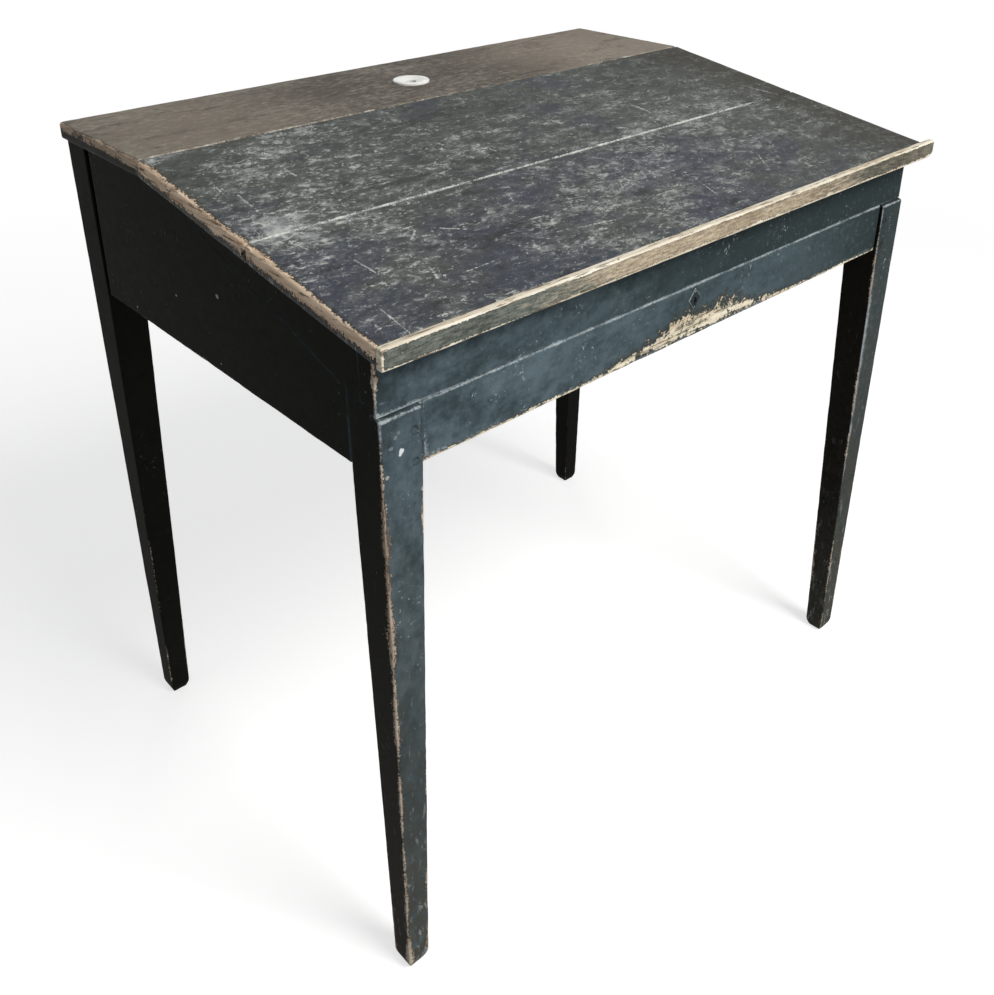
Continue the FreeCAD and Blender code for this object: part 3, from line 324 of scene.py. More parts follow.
def worn_piece(node, block, material, worn, rubbed=None, bare_faces=None, raw=(), light_and_fade=1, body="carcass",
               slot="painted_wood", spacing=6, radius=1.8, nicks=1.2, seed=1, patchy=1.0, most_worn=2.0,
               extra=()):
    """A worn wooden piece in the place of a CAD node, with the node's own pockets and holes.

    worn and rubbed say how far the bare wood and the pale rubbed paint, partly a painted highlight, reach
    from each arris, bare_faces how bare the faces are, raw names the unpainted faces, and light_and_fade
    says where the paint is shown lit, as painted light and partly bleaching, and where it is left in painted
    shade. Reaches, spacing, radius and nicks are in mm."""
    points, quads = worn_mesh(block, spacing * MM, radius * MM, nicks * MM, seed)
    piece = mesh_object(node + "_worn", points, quads)
    for part in extra:
        corners, sides = surface_lattice([2, 2, 2])
        combine(piece, mesh_object("part", part.place(corners.astype(float)), sides), "UNION")
    combine(piece, cad_copy(node), "INTERSECT")
    mesh = piece.data
    points, normals = vertex_vectors(mesh), vertex_vectors(mesh, "normal")
    bare = np.maximum(arris_amount(block, points, worn, seed + 10, patchy),
                      face_amount(block, points, bare_faces or {}))
    add_attribute(mesh, "wear", np.clip(bare, 0, at(most_worn, points)))
    add_attribute(mesh, "rub_and_highlight", np.clip(arris_amount(block, points, rubbed or {}, seed + 20, 0.22), 0, 2))
    inside = (block.depths(points).min(axis=1) > (1.6 + radius) * MM).astype(float)
    for face in raw:
        number = FACES.index(face)
        facing = normals[:, number // 2] * (1 if number % 2 else -1)
        inside = np.maximum(inside, (facing > 0.6).astype(float))
    add_attribute(mesh, "raw", inside)
    # Painted light and shade by which way each face turns, partly daylight bleaching.
    toward_light = np.clip(normals @ [[0, 0, 0, 1], [-1, 1, 0, 0], [0, 0, 1, 0]], 0, 1)
    fade = np.clip(toward_light @ FACING_LIGHT_AND_FADE, 0, 1)
    add_attribute(mesh, "light_and_fade", fade * at(light_and_fade, points))
    finish_piece(piece, body, material, slot, node)
    return mesh


# ---------------- shader nodes

FLAT = 1000   # a scale so large that height doesn't matter
# How many features remain along x, y and z when a pattern is drawn out along the grain.
GRAIN = {"x": (0.07, 1, 1), "y": (1, 0.07, 1), "z": (1, 1, 0.07)}
BRUSHED = {"x": (0.45, 1, 1), "y": (1, 0.45, 1), "z": (1, 1, 0.55)}   # drawn out by the paintbrush


class Value:
    """An output of a shader node. Arithmetic with it adds nodes."""

    def __init__(self, wiring, socket):
        self.wiring, self.socket = wiring, socket

    def __add__(self, other):
        return self.wiring.math("ADD", self, other)

    def __mul__(self, other):
        return self.wiring.math("MULTIPLY", self, other)

    def __sub__(self, other):
        return self.wiring.math("SUBTRACT", self, other)

    def __rsub__(self, other):
        return self.wiring.math("SUBTRACT", other, self)

    def __abs__(self):
        return self.wiring.math("ABSOLUTE", self)

    __radd__, __rmul__ = __add__, __mul__

    def step(self, start, end):
        """0 before start, 1 after end, smooth between."""
        if start > end:
            return (0.0 - self).step(-start, -end)
        inputs = {"Value": self, "From Min": start, "From Max": end}
        return self.wiring.value("MapRange", "Result", inputs, interpolation_type="SMOOTHSTEP")


class Wiring:
    """The nodes of a material or a world."""

    def __init__(self, owner, empty=True):
        owner.use_nodes = True
        self.tree = owner.node_tree
        if empty:
            self.tree.nodes.clear()

    def node(self, kind, inputs=None, **settings):
        made = self.tree.nodes.new("ShaderNode" + kind)
        for name, value in settings.items():
            setattr(made, name, value)
        for name, value in (inputs or {}).items():
            self.put(made.inputs[name], value)
        return made

    def value(self, kind, output, inputs=None, **settings):
        return Value(self, self.node(kind, inputs, **settings).outputs[output])

    def put(self, socket, value):
        """Link an output to a socket, or set the socket to a number or colour."""
        if isinstance(value, Value):
            self.tree.links.new(value.socket, socket)
        else:
            socket.default_value = (*value, 1) if socket.type == "RGBA" else value

    def math(self, operation, one, other=0.0):
        return self.value("Math", 0, {0: one, 1: other}, operation=operation)

    def vectors(self, operation, one, other=(0, 0, 0), output="Vector"):
        return self.value("VectorMath", output, {0: one, 1: other}, operation=operation)


def larger(one, other):
    return one.wiring.math("MAXIMUM", one, other)


def mix(share, one, other):
    """A share of the way from one colour to the other."""
    wiring = next(value.wiring for value in (share, one, other) if isinstance(value, Value))
    return wiring.value("Mix", 2, {0: share, 6: one, 7: other}, data_type="RGBA")


class Shader(Wiring):
    """A material and the patterns that it is made from, in the coordinates of its piece."""

    def __init__(self, name, roughness=0.6, specular=0.06, metallic=0.0):
        self.material = bpy.data.materials.new(name)
        super().__init__(self.material, empty=False)
        self.surface = self.tree.nodes["Principled BSDF"].inputs
        self.surface["Roughness"].default_value = roughness
        self.surface["Specular IOR Level"].default_value = specular
        self.surface["Metallic"].default_value = metallic
        self.place = self.value("TexCoord", "Object")

    def noise(self, scale, grain=1, detail=4, rough=0.55, shift=(0, 0, 0), warp=0, turn=0, flat=False):
        """Noise with this many features to the metre, fewer of them along the grain. A number is for x."""
        shares = GRAIN.get(grain, grain)
        if not isinstance(shares, tuple):
            shares = (shares, 1, 1)
        across, deep, up = (scale * share for share in shares)
        place = {"Vector": self.place, "Rotation": (0, 0, turn), "Location": shift}
        scaled = self.vectors("MULTIPLY", self.value("Mapping", 0, place), (across, deep, 0 if flat else up))
        return self.value("TexNoise", "Fac", {"Vector": scaled, "Scale": 1.0, "Detail": detail,
                                              "Roughness": rough, "Distortion": warp})

    def cells(self, scale, shift):
        """Distance to the nearest of scattered points, and a random number for that point."""
        scaled = self.vectors("MULTIPLY", self.vectors("ADD", self.place, shift), (scale, scale, scale))
        made = self.node("TexVoronoi", {"Vector": scaled, "Scale": 1.0}).outputs
        chance = self.value("SeparateColor", 0, {"Color": Value(self, made["Color"])})
        return Value(self, made["Distance"]), chance

    def stroke(self, x, y, end_x, end_y, width):
        """Below 1 inside a thin ellipse along a line in plan, more outside. All sizes in mm."""
        reach = math.hypot(end_x - x, end_y - y) / 2 + width
        shaped = {"Vector": self.place, "Location": ((x + end_x) / 2 * MM, (y + end_y) / 2 * MM, 0),
                  "Rotation": (0, 0, math.atan2(end_y - y, end_x - x)),
                  "Scale": (reach * MM, width / 2 * MM, FLAT)}
        away = self.value("Mapping", 0, shaped, vector_type="TEXTURE")
        return self.vectors("LENGTH", away, output="Value")

    def add_spots(self, colour, spots, ragged):
        """Ragged spots over a colour: a centre, a radius and a colour each."""
        for centre, radius, shade in spots:
            away = self.vectors("SUBTRACT", self.place, tuple(centre))
            distance = self.vectors("LENGTH", away, output="Value")
            spot = (distance + ragged * (1.4 * radius)).step(1.6 * radius, 1.3 * radius)
            colour = mix(spot * 0.85, colour, shade)
        return colour

    def attribute(self, name):
        return self.value("Attribute", "Fac", attribute_name=name)

    def axis(self, name):
        return self.value("SeparateXYZ", "XYZ".index(name), {"Vector": self.place})

    def finish(self, colour, height, depth, roughness):
        bump = {"Height": height, "Distance": depth * MM, "Strength": 1}
        self.put(self.surface["Base Color"], colour)
        self.put(self.surface["Roughness"], roughness)
        self.put(self.surface["Normal"], self.value("Bump", "Normal", bump))
        return self.material


# ---------------- wood and paint

# Light, dark and dirty tones of each wood.
PINE = ((0.82, 0.66, 0.5), (0.52, 0.38, 0.26), (0.1, 0.065, 0.045))
CREAM = ((0.76, 0.71, 0.6), (0.56, 0.48, 0.36), (0.13, 0.095, 0.06))
PATCH_WOOD = ((0.72, 0.66, 0.52), (0.54, 0.45, 0.32), (0.1, 0.09, 0.065))
EDGE_WOOD = ((0.52, 0.45, 0.37), (0.33, 0.25, 0.19), (0.07, 0.05, 0.036))
BOARD_WOOD = ((0.5, 0.4, 0.3), (0.3, 0.22, 0.16), (0.07, 0.05, 0.036))
OLD_PINE = ((0.4, 0.27, 0.155), (0.2, 0.12, 0.065), (0.07, 0.045, 0.03))
PINE_AGED = (0.13, 0.085, 0.05)
FRINGE = (0.034, 0.03, 0.023)
INK = (0.02, 0.022, 0.03)
# Painted shade: paint on faces turned away from the light, in the keyhole and on the back board's left end.
PAINT_IN_SHADE = (0.006, 0.0063, 0.005)
PAINT_DEEP = (0.033, 0.047, 0.053)
# Painted light: paint on faces turned to the light, partly bleached.
PAINT_LIT_AND_FADED = (0.095, 0.13, 0.147)
# Smudges of dirt, and painted shade where the paint darkens across a piece.
PAINT_SMUDGE_AND_SHADE = (0.02, 0.029, 0.03)
PAINT_HAZE = (0.15, 0.18, 0.185)
PAINT_PALE = (0.4, 0.44, 0.45)
# Dust in painted shade and dust in painted light.
DUST_IN_SHADE = (0.021, 0.018, 0.014)
DUST_IN_LIGHT = (0.06, 0.056, 0.044)
CHIP = (0.36, 0.34, 0.3)
CHIP_WHITE = (0.66, 0.7, 0.7)
LID_BLUE = (0.044, 0.049, 0.063)
LID_GREEN = (0.056, 0.061, 0.053)
LID_DARK = (0.022, 0.023, 0.022)
LID_EDGE = (0.034, 0.031, 0.024)
LID_HAZE = (0.195, 0.205, 0.2)
SCUFF_GREY = (0.32, 0.34, 0.34)
SCUFF_PALE = (0.56, 0.57, 0.54)
SEAM_PALE = (0.64, 0.65, 0.61)
BOARD_BROWN = (0.098, 0.083, 0.067)
BOARD_GREY = (0.172, 0.152, 0.127)
BOARD_DARK = (0.046, 0.041, 0.034)
BOARD_BLEACHED = (0.225, 0.192, 0.155)
BOARD_PALE = (0.33, 0.3, 0.25)
BOARD_MARKS = (0.42, 0.39, 0.33)
BOARD_SEAM = (0.55, 0.52, 0.45)
NOSING_GREEN = ((0.045, 0.052, 0.045), (0.165, 0.176, 0.152))
NOSING_BROWN = ((0.21, 0.16, 0.105), (0.5, 0.42, 0.31))
NOSING_DARK = ((0.055, 0.046, 0.033), (0.17, 0.145, 0.105))
GLAZE, GLAZE_CREAM, GLAZE_SPECK = (0.8, 0.8, 0.77), (0.7, 0.69, 0.64), (0.2, 0.18, 0.15)
RUST = (0.11, 0.05, 0.025)


def wood(shader, grain, tones, dirt=0.585):
    """Colour and height of bare wood. More of it is dirty where dirt is lower."""
    light, dark, grime = tones
    streaks = shader.noise(420, grain, 5)
    rings = shader.noise(70, grain, 2, shift=(3.1, 1.7, 0.4))
    colour = mix((streaks * 0.6 + rings * 0.55).step(0.42, 0.72), light, dark)
    specks = shader.noise(330, grain, rough=0.7, shift=(0.7, 2.1, 1.3))
    blots = shader.noise(90, detail=3, shift=(4.7, 0.1, 2.3))
    specks = (specks + blots * 0.35).step(dirt + 0.13, dirt + 0.22)
    return mix(specks * 0.85, colour, grime), streaks


def wear_down(shader, colour, grain, tones, coarse_share, fine_share, fringe_share, fine_scale=420,
              end_grain=None, dirt=0.585):
    """Bare wood over a painted colour, with the thin dark fringe of the paint's edge round it, and the
    unpainted inside. Also where it is bare, and the height of the wood below the paint."""
    bare_colour, wood_height = wood(shader, end_grain or grain, tones, dirt)
    coarse = shader.noise(70, rough=0.6, shift=(5.2, 0.3, 8.8))
    fine = shader.noise(fine_scale, 1, 5, 0.7, (1.2, 6.1, 0.5))
    level = shader.attribute("wear") + coarse * coarse_share + fine * fine_share
    edge = 1.45 + 0.5 * (coarse_share + fine_share)
    bare, fringe = level.step(edge, edge + 0.15), level.step(edge - 0.3, edge - 0.02)
    colour = mix(bare, mix(fringe * fringe_share, colour, FRINGE), bare_colour)
    inner, _ = wood(shader, grain, OLD_PINE)
    colour = mix(shader.attribute("raw"), colour, inner)
    return colour, bare, bare * (wood_height * 0.8 - 0.9)


def rub_and_highlight_mask(shader, broken_share, fine_share):
    """Where the paint is pale beside an arris: rubbed paint, and partly a painted highlight."""
    broken = shader.noise(45, shift=(3.3, 9.1, 0.2))
    fine = shader.noise(420, rough=0.7, shift=(8.1, 0.7, 4.2))
    start = 1.35 + 0.5 * (broken_share + fine_share)
    return (shader.attribute("rub_and_highlight") + broken * broken_share + fine * fine_share).step(start, start + 0.65)


def worn_paint(name, grain, tones=EDGE_WOOD, coarse_share=1.3, fine_share=2.0, fine_scale=420, spots=(),
               fringe_share=0.6, darker=(0.5, 0.32), lift=0.0, dirt=0.585):
    """Old oil paint on pine, worn through at the arrises, lit as painted light on faces turned to the light
    and dark as painted shade on the others, partly from daylight bleaching.

    spots are single chips, and at the keyhole a spot of painted shade. darker says how much darker the paint
    gets from the left to the middle, and from there to the right, which on the rails is painted shade under
    the nosing; lift makes more of it pale."""
    shader = Shader(name, specular=0.015)
    light_and_fade, dusty = shader.attribute("light_and_fade"), shader.attribute("dusty")
    cloud = shader.noise(10, BRUSHED[grain], 5, 0.6)
    streaks = shader.noise(45, BRUSHED[grain], 5, 0.65, (2.2, 0.1, 4))
    mottle = shader.noise(95, 1, 5, 0.65, (6, 1, 2))
    tone = cloud * 0.6 + streaks * 0.4 + mottle * 0.3
    light = mix(tone.step(0.52 - lift, 0.79 - lift), PAINT_DEEP, PAINT_LIT_AND_FADED)
    smudge = shader.noise(20, BRUSHED[grain], 6, 0.65, (7.7, 1.1, 2.3)).step(0.52, 0.68)
    light = mix(smudge * 0.6, light, PAINT_SMUDGE_AND_SHADE)
    across = shader.axis("X")
    # Darker from the left towards the middle and the right; on the rails this is painted shade under the
    # nosing.
    rightwards = across.step(-0.4, 0.1) * darker[0] + across.step(0.05, 0.38) * darker[1]
    light = mix(rightwards, light, PAINT_SMUDGE_AND_SHADE)
    haze = shader.noise(150, 1, 6, 0.78, (1.9, 3.1, 7))
    light = mix((haze + cloud * 0.3).step(0.7, 0.9) * 0.45, light, PAINT_HAZE)
    # Painted light and shade: paint and dust are light on faces turned to the light and dark on the others.
    dust = mix(light_and_fade, DUST_IN_SHADE, DUST_IN_LIGHT)
    paint = mix(dusty * mottle.step(0.25, 0.6), mix(light_and_fade, PAINT_IN_SHADE, light), dust)
    marks = shader.noise(260, warp=0.6, shift=(0.9, 0.4, 3.3)).step(0.63, 0.7)
    where = shader.noise(17, shift=(4, 4.4, 1)).step(0.52, 0.64)
    marks = marks * where * (0.15 + light_and_fade * 0.5)
    scrapes = shader.noise(170, (1, 1, 0.3), rough=0.7, warp=0.5, shift=(2, 8, 0))
    scrapes = (scrapes + dusty * 0.1).step(0.66, 0.74) * dusty * (0.12 + light_and_fade * 0.33)
    paint = mix(larger(marks, scrapes), paint, PAINT_PALE)
    paint = mix(rub_and_highlight_mask(shader, 1.1, 1.4) * 0.75, paint, PAINT_PALE)
    colour, bare, bare_height = wear_down(shader, paint, grain, tones, coarse_share, fine_share,
                                          fringe_share, fine_scale, dirt=dirt)
    distance, chance = shader.cells(38, (0.31, 0.77, 0.13))
    ragged = shader.noise(300, detail=3)
    chips = (distance + ragged * 0.45).step(0.36, 0.33) * chance.step(0.975, 0.98)
    colour = shader.add_spots(mix(chips * 0.8, colour, CHIP), spots, ragged)
    height = shader.noise(260, grain, shift=(1, 1, 2)) * 0.5 + mottle * 0.5 + bare_height
    return shader.finish(colour, height, 0.22, 0.46 + mottle * 0.22 + bare * 0.22)


# Scratches across the lid in mm: x and y of the start, x and y of the end, width.
LID_SCRATCHES = (
    (-369, -10, -370, -44, 3), (-377, 19, -379, -7, 1.8), (-377, -236, -379, -280, 1.6),
    (-349, -162, -346, -195, 2.6), (-302, -208, -308, -226, 3.6), (-290, -166, -271, -149, 2.8),
    (-278, -142, -271, -143, 4.5), (-282, -230, -252, -229, 1.8), (55, -207, 43, -249, 2.4),
    (157, -30, 158, -52, 4.5), (175, -199, 159, -221, 2.2), (-88, -205, -36, -214, 3.2),
    (-140, -222, -86, -230, 2.6), (346, -47, 365, -96, 2.4), (-301, 12, -300, -2, 3.6),
    (-251, -156, -227, -173, 2.4), (-167, -187, -149, -188, 2.8), (-346, -272, -332, -273, 3.6),
    (55, -44, 60, -46, 5), (86, -71, 91, -74, 5),
)


def flecks(shader, density, scale, stretch, turn, start, end, shift):
    """Pale marks, drawn out along x and then turned. There are more of them where density is higher."""
    marks = shader.noise(scale, stretch, 5, 0.7, shift, warp=0.5, turn=turn, flat=True)
    return (marks + density).step(start, end)


def lid_paint(name):
    """Navy paint on the lid, scuffed and scratched all over."""
    shader = Shader(name)
    large = shader.noise(8, 0.7, 5, 0.6)
    middle = shader.noise(38, 0.5, 5, 0.65, (2, 5, 1))
    grit = shader.noise(120, 0.55, 7, 0.8, (5, 2, 1), warp=0.4)
    scuffed, across = shader.attribute("scuffed"), shader.axis("X")
    rearwards = shader.axis("Y").step(-0.22, 0.06) * 0.16
    rightwards = across.step(0.0, 0.36) * 0.14
    paint = mix((large + middle * 0.35 + rearwards + rightwards).step(0.58, 0.86), LID_BLUE, LID_GREEN)
    stains = shader.noise(17, 0.4, 6, 0.7, (9.1, 2.2, 0))
    blotches = shader.noise(75, 0.6, 6, 0.75, (4.1, 6.2, 0), warp=0.3)
    dark = (stains * 0.7 + blotches * 0.8 + scuffed * -0.06).step(0.72, 0.92)
    paint = mix(dark * 0.7, paint, LID_DARK)
    paint = mix(across.step(0.26, 0.38) * 0.8, paint, LID_EDGE)
    density = large * 0.12 + middle * 0.38 + scuffed * 0.08 + blotches * -0.1 + -0.027
    colour = mix((grit + density).step(0.58, 0.92) * 0.55, paint, LID_HAZE)
    soft = flecks(shader, density, 100, 0.65, 0.1, 0.72, 0.9, (1, 0, 0))
    small = flecks(shader, density, 200, 0.65, 0.0, 0.74, 0.85, (0, 3, 0)) * (1.0 - rightwards * 2.5)
    aslant = flecks(shader, density, 160, 0.5, -0.9, 0.77, 0.89, (0, 8, 0))
    along = flecks(shader, density, 140, 0.36, 0.05, 0.76, 0.88, (7, 0, 0))
    pale = larger(larger(soft * 0.55, small * 0.7), larger(aslant * 0.52, along * 0.58))
    nearest = 10.0
    for scratch in LID_SCRATCHES:
        nearest = shader.math("MINIMUM", shader.stroke(*scratch), nearest)
    ragged = shader.noise(260, rough=0.7, flat=True)
    scratches = (nearest + ragged * 5.5).step(3.75, 3.0)
    pale = larger(pale, scratches * 0.75) * (0.88 + across.step(0.1, -0.3) * 0.28)
    tone = mix(shader.noise(70).step(0.4, 0.62), SCUFF_GREY, SCUFF_PALE)
    colour = mix(rub_and_highlight_mask(shader, 1.0, 1.8) * 0.9, mix(pale, colour, tone), SEAM_PALE)
    colour, bare, bare_height = wear_down(shader, colour, "x", PINE, 0.9, 1.6, 0.9, end_grain="y")
    height = shader.noise(240, "x", shift=(1, 1, 2)) * 0.6 + grit * -0.5 + bare_height
    return shader.finish(colour, height, 0.25, 0.42 + middle * 0.25 + pale * 0.2 + bare * 0.2)


def board_paint(name):
    """The thin brown-grey finish of the back board, palest towards both ends."""
    shader = Shader(name)
    bands = shader.noise(45, 0.22, 6, 0.65)
    lines = shader.noise(260, 0.08, 5, 0.65, (1, 2, 0))
    large = shader.noise(9, 0.7, 5, 0.6, (3, 3, 0))
    grit = shader.noise(150, 0.5, 6, 0.78, (6, 2, 0))
    across = shader.axis("X")
    level = bands * 0.5 + lines * 0.25 + large * 0.55 + abs(across).step(0.1, 0.32) * 0.1
    colour = mix(level.step(0.58, 0.86), BOARD_BROWN, BOARD_GREY)
    bleached = abs(across + 0.02).step(0.06, 0.3) * (0.6 + across.step(0.02, 0.26) * 0.32)
    colour = mix(bleached, mix(0.42, colour, BOARD_DARK), BOARD_BLEACHED)
    dark = shader.noise(40, 0.35, 6, 0.7, (8, 1, 0))
    colour = mix(dark.step(0.5, 0.68) * 0.65, colour, BOARD_DARK)
    scuffs = (grit + large * 0.35 + bands * 0.25).step(0.74, 0.98)
    colour = mix(scuffs * 0.6, colour, BOARD_PALE)
    marks = flecks(shader, large * 0.3, 220, 0.35, 0.0, 0.78, 0.88, (0, 4, 0))
    colour = mix(marks * 0.5, colour, BOARD_MARKS)
    # Painted shade: faces turned away from the light, such as the left end, are nearly black.
    colour = mix(shader.attribute("light_and_fade").step(0.04, 0.3), PAINT_IN_SHADE, colour)
    colour = mix(rub_and_highlight_mask(shader, 3.0, 2.4) * 0.85, colour, BOARD_SEAM)
    colour, _, bare_height = wear_down(shader, colour, "x", BOARD_WOOD, 1.2, 1.6, 0.6, end_grain="y")
    return shader.finish(colour, lines * 0.8 + grit * 0.3 + bare_height, 0.28, 0.5 + bands * 0.25)


NOSING_NICKS = [((x, low("nosing_strip", "y") + y * MM, high("nosing_strip", "z")), radius * MM, FRINGE)
                for x, y, radius in ((-0.151, 1, 1.3), (-0.149, 3.2, 1), (0.118, 0.5, 0.9),
                                     (-0.342, 1.2, 0.8))]


def nosing_wood(name):
    """Rubbed nosing: grey-green paint at the left, rubbed to brown wood in the middle, dark at the right."""
    shader = Shader(name)
    patches = shader.noise(40, 0.3, 5, 0.6)
    fine = shader.noise(480, 0.13, 5, 0.7, (2, 1, 0))
    specks = shader.noise(420, 1, 3, 0.7, (5, 0, 1))
    share = (fine * 0.6 + patches * 0.25 + specks * 0.25).step(0.44, 0.68)
    across = shader.axis("X")
    middle = across.step(-0.3, -0.06) * across.step(0.36, 0.14)
    rubbed = (patches * 0.8 + middle * 0.45 + fine * 0.35).step(0.66, 0.98)
    colour = mix(rubbed, mix(share, *NOSING_GREEN), mix(share, *NOSING_BROWN))
    colour = mix(across.step(0.16, 0.34) * 0.75, colour, mix(share, *NOSING_DARK))
    colour, _, bare_height = wear_down(shader, colour, "x", CREAM, 0.9, 1.6, 0.5)
    colour = shader.add_spots(colour, NOSING_NICKS, specks)
    return shader.finish(colour, fine + bare_height, 0.22, 0.5 + patches * 0.25)


def old_pine(name, grain):
    """Unpainted pine of the inside, brown with age, with a few ink spots."""
    shader = Shader(name)
    colour, streaks = wood(shader, grain, OLD_PINE, 0.66)
    colour = mix(shader.noise(8).step(0.4, 0.7) * 0.5, colour, PINE_AGED)
    distance, chance = shader.cells(14, (0.2, 0.5, 0.9))
    spot = distance + shader.noise(110, detail=3) * 0.35
    colour = mix(spot.step(0.36, 0.31) * chance.step(0.9, 0.92) * 0.9, colour, INK)
    height = streaks + shader.noise(40, grain, 2) * 0.5
    return shader.finish(colour, height, 0.35, 0.62 + streaks * 0.2)


def metal(name, colour, tarnish, rough):
    """Old metal: patches of tarnish, fine scratches, dull in the hollows."""
    shader = Shader(name, rough, 0.5, 1.0)
    patches = shader.noise(160, 1, 5, 0.65).step(0.42, 0.64)
    scratches = shader.noise(900, 0.1, 2, turn=0.5)
    return shader.finish(mix(patches * 0.8, colour, tarnish), patches + scratches * 0.4, 0.08,
                         rough + patches * 0.25 + scratches * 0.1)


def porcelain(name):
    """White glaze, slightly clouded, with fine specks."""
    shader = Shader(name, specular=0.5)
    cloud = shader.noise(60, detail=3)
    specks = shader.noise(700, detail=1).step(0.74, 0.78)
    colour = mix(specks * 0.6, mix(cloud.step(0.4, 0.7), GLAZE, GLAZE_CREAM), GLAZE_SPECK)
    return shader.finish(colour, cloud, 0.15, 0.12 + cloud * 0.12)


def painted_iron(name, colour):
    """Iron fittings under old paint, with specks of rust."""
    shader = Shader(name, specular=0.2)
    patches = shader.noise(130, 1, 5, 0.65)
    shade = mix(patches.step(0.35, 0.65), colour, tuple(0.55 * share for share in colour))
    rubbed = shader.noise(260, 0.5, 5, 0.7, (0, 1, 0)).step(0.46, 0.62)
    shade = mix(rubbed * 0.7, shade, BOARD_SEAM)
    rust = shader.noise(300, shift=(2, 0, 1)).step(0.62, 0.7)
    return shader.finish(mix(rust * 0.7, shade, RUST), patches, 0.12, 0.45 + patches * 0.3)


panel_face = low("side_panel_left", "x")
SIDE_CHIPS = [((panel_face, y, z), radius * MM, CHIP) for y, z, radius in (
    (-0.023, 0.696, 3), (0.065, 0.668, 1.6), (0.166, 0.621, 1.6), (-0.014, 0.622, 1.4),
    (-0.203, 0.605, 1.6))]
LEG_CHIPS = [((left_face + x * MM, front_face, z), radius * MM, shade) for x, z, radius, shade in (
    (20.8, 0.6357, 3.2, CHIP_WHITE), (19.5, 0.6325, 2.0, CHIP_WHITE), (15.5, 0.65, 2.2, PAINT_HAZE),
    (19.0, 0.6535, 2.0, PAINT_HAZE), (10.9, 0.6416, 3.0, PAINT_HAZE), (5.2, 0.6165, 2.4, CHIP))]
# Painted shade: a dark spot on the escutcheon round the keyhole, which makes the dark hole look larger.
keyhole = (Vector(box["escutcheon"][0]) + Vector(box["escutcheon"][1])) / 2
KEYHOLE_SHADE = [((keyhole.x, low("escutcheon", "y"), keyhole.z - 1.5 * MM), 3.1 * MM, PAINT_IN_SHADE)]

apron_finish = worn_paint("painted_apron", "x", PATCH_WOOD, coarse_share=1.0, fine_share=1.6, fine_scale=210,
                          fringe_share=0.78, darker=(0.38, 0.6), lift=0.025, dirt=0.55)
# The rails are darkened towards the middle and right as painted shade under the nosing.
paint_across = worn_paint("painted_rails", "x", spots=KEYHOLE_SHADE, darker=(0.92, 0.05))
paint_deep = worn_paint("painted_sides", "y", spots=SIDE_CHIPS)
paint_upright = worn_paint("painted_legs", "z", fine_share=3.2, spots=LEG_CHIPS, lift=0.04)
lid_finish = lid_paint("lid_paint_worn")
board_finish = board_paint("back_board_finish")
nosing_finish = nosing_wood("nosing_finish")
pine_across = old_pine("pine_across", "x")
pine_deep = old_pine("pine_deep", "y")
hinge_iron = painted_iron("hinge_iron", (0.12, 0.105, 0.086))
steel = metal("old_steel", (0.33, 0.32, 0.31), (0.1, 0.065, 0.045), 0.42)
brass = metal("old_brass", (0.62, 0.46, 0.22), (0.16, 0.11, 0.05), 0.36)
glaze = porcelain("porcelain_glaze")


# ---------------- legs

def joint_shade(distance):
    """Paint is dark within a joint and pale from 1.5 mm away."""
    return np.maximum(ramp(distance, 0.5 * MM, 1.5 * MM), 0.1)


def taper(outer, inner):
    """A leg's outer face with its bevel, and its inner face, which narrows the leg to the foot."""
    away = math.copysign(1, inner - outer)

    def inner_face(_, z):
        share = ramp(z, FOOT_BEVEL_HEIGHT, rail_bottom)
        bevel = FOOT_BEVEL * ramp(z, FOOT_BEVEL_HEIGHT, 0)
        return outer + away * (FOOT_WIDTH + share * (leg_width - FOOT_WIDTH) - bevel)

    def outer_face(_, z):
        return outer + away * FOOT_BEVEL * ramp(z, FOOT_BEVEL_HEIGHT, 0)
    return outer_face, inner_face


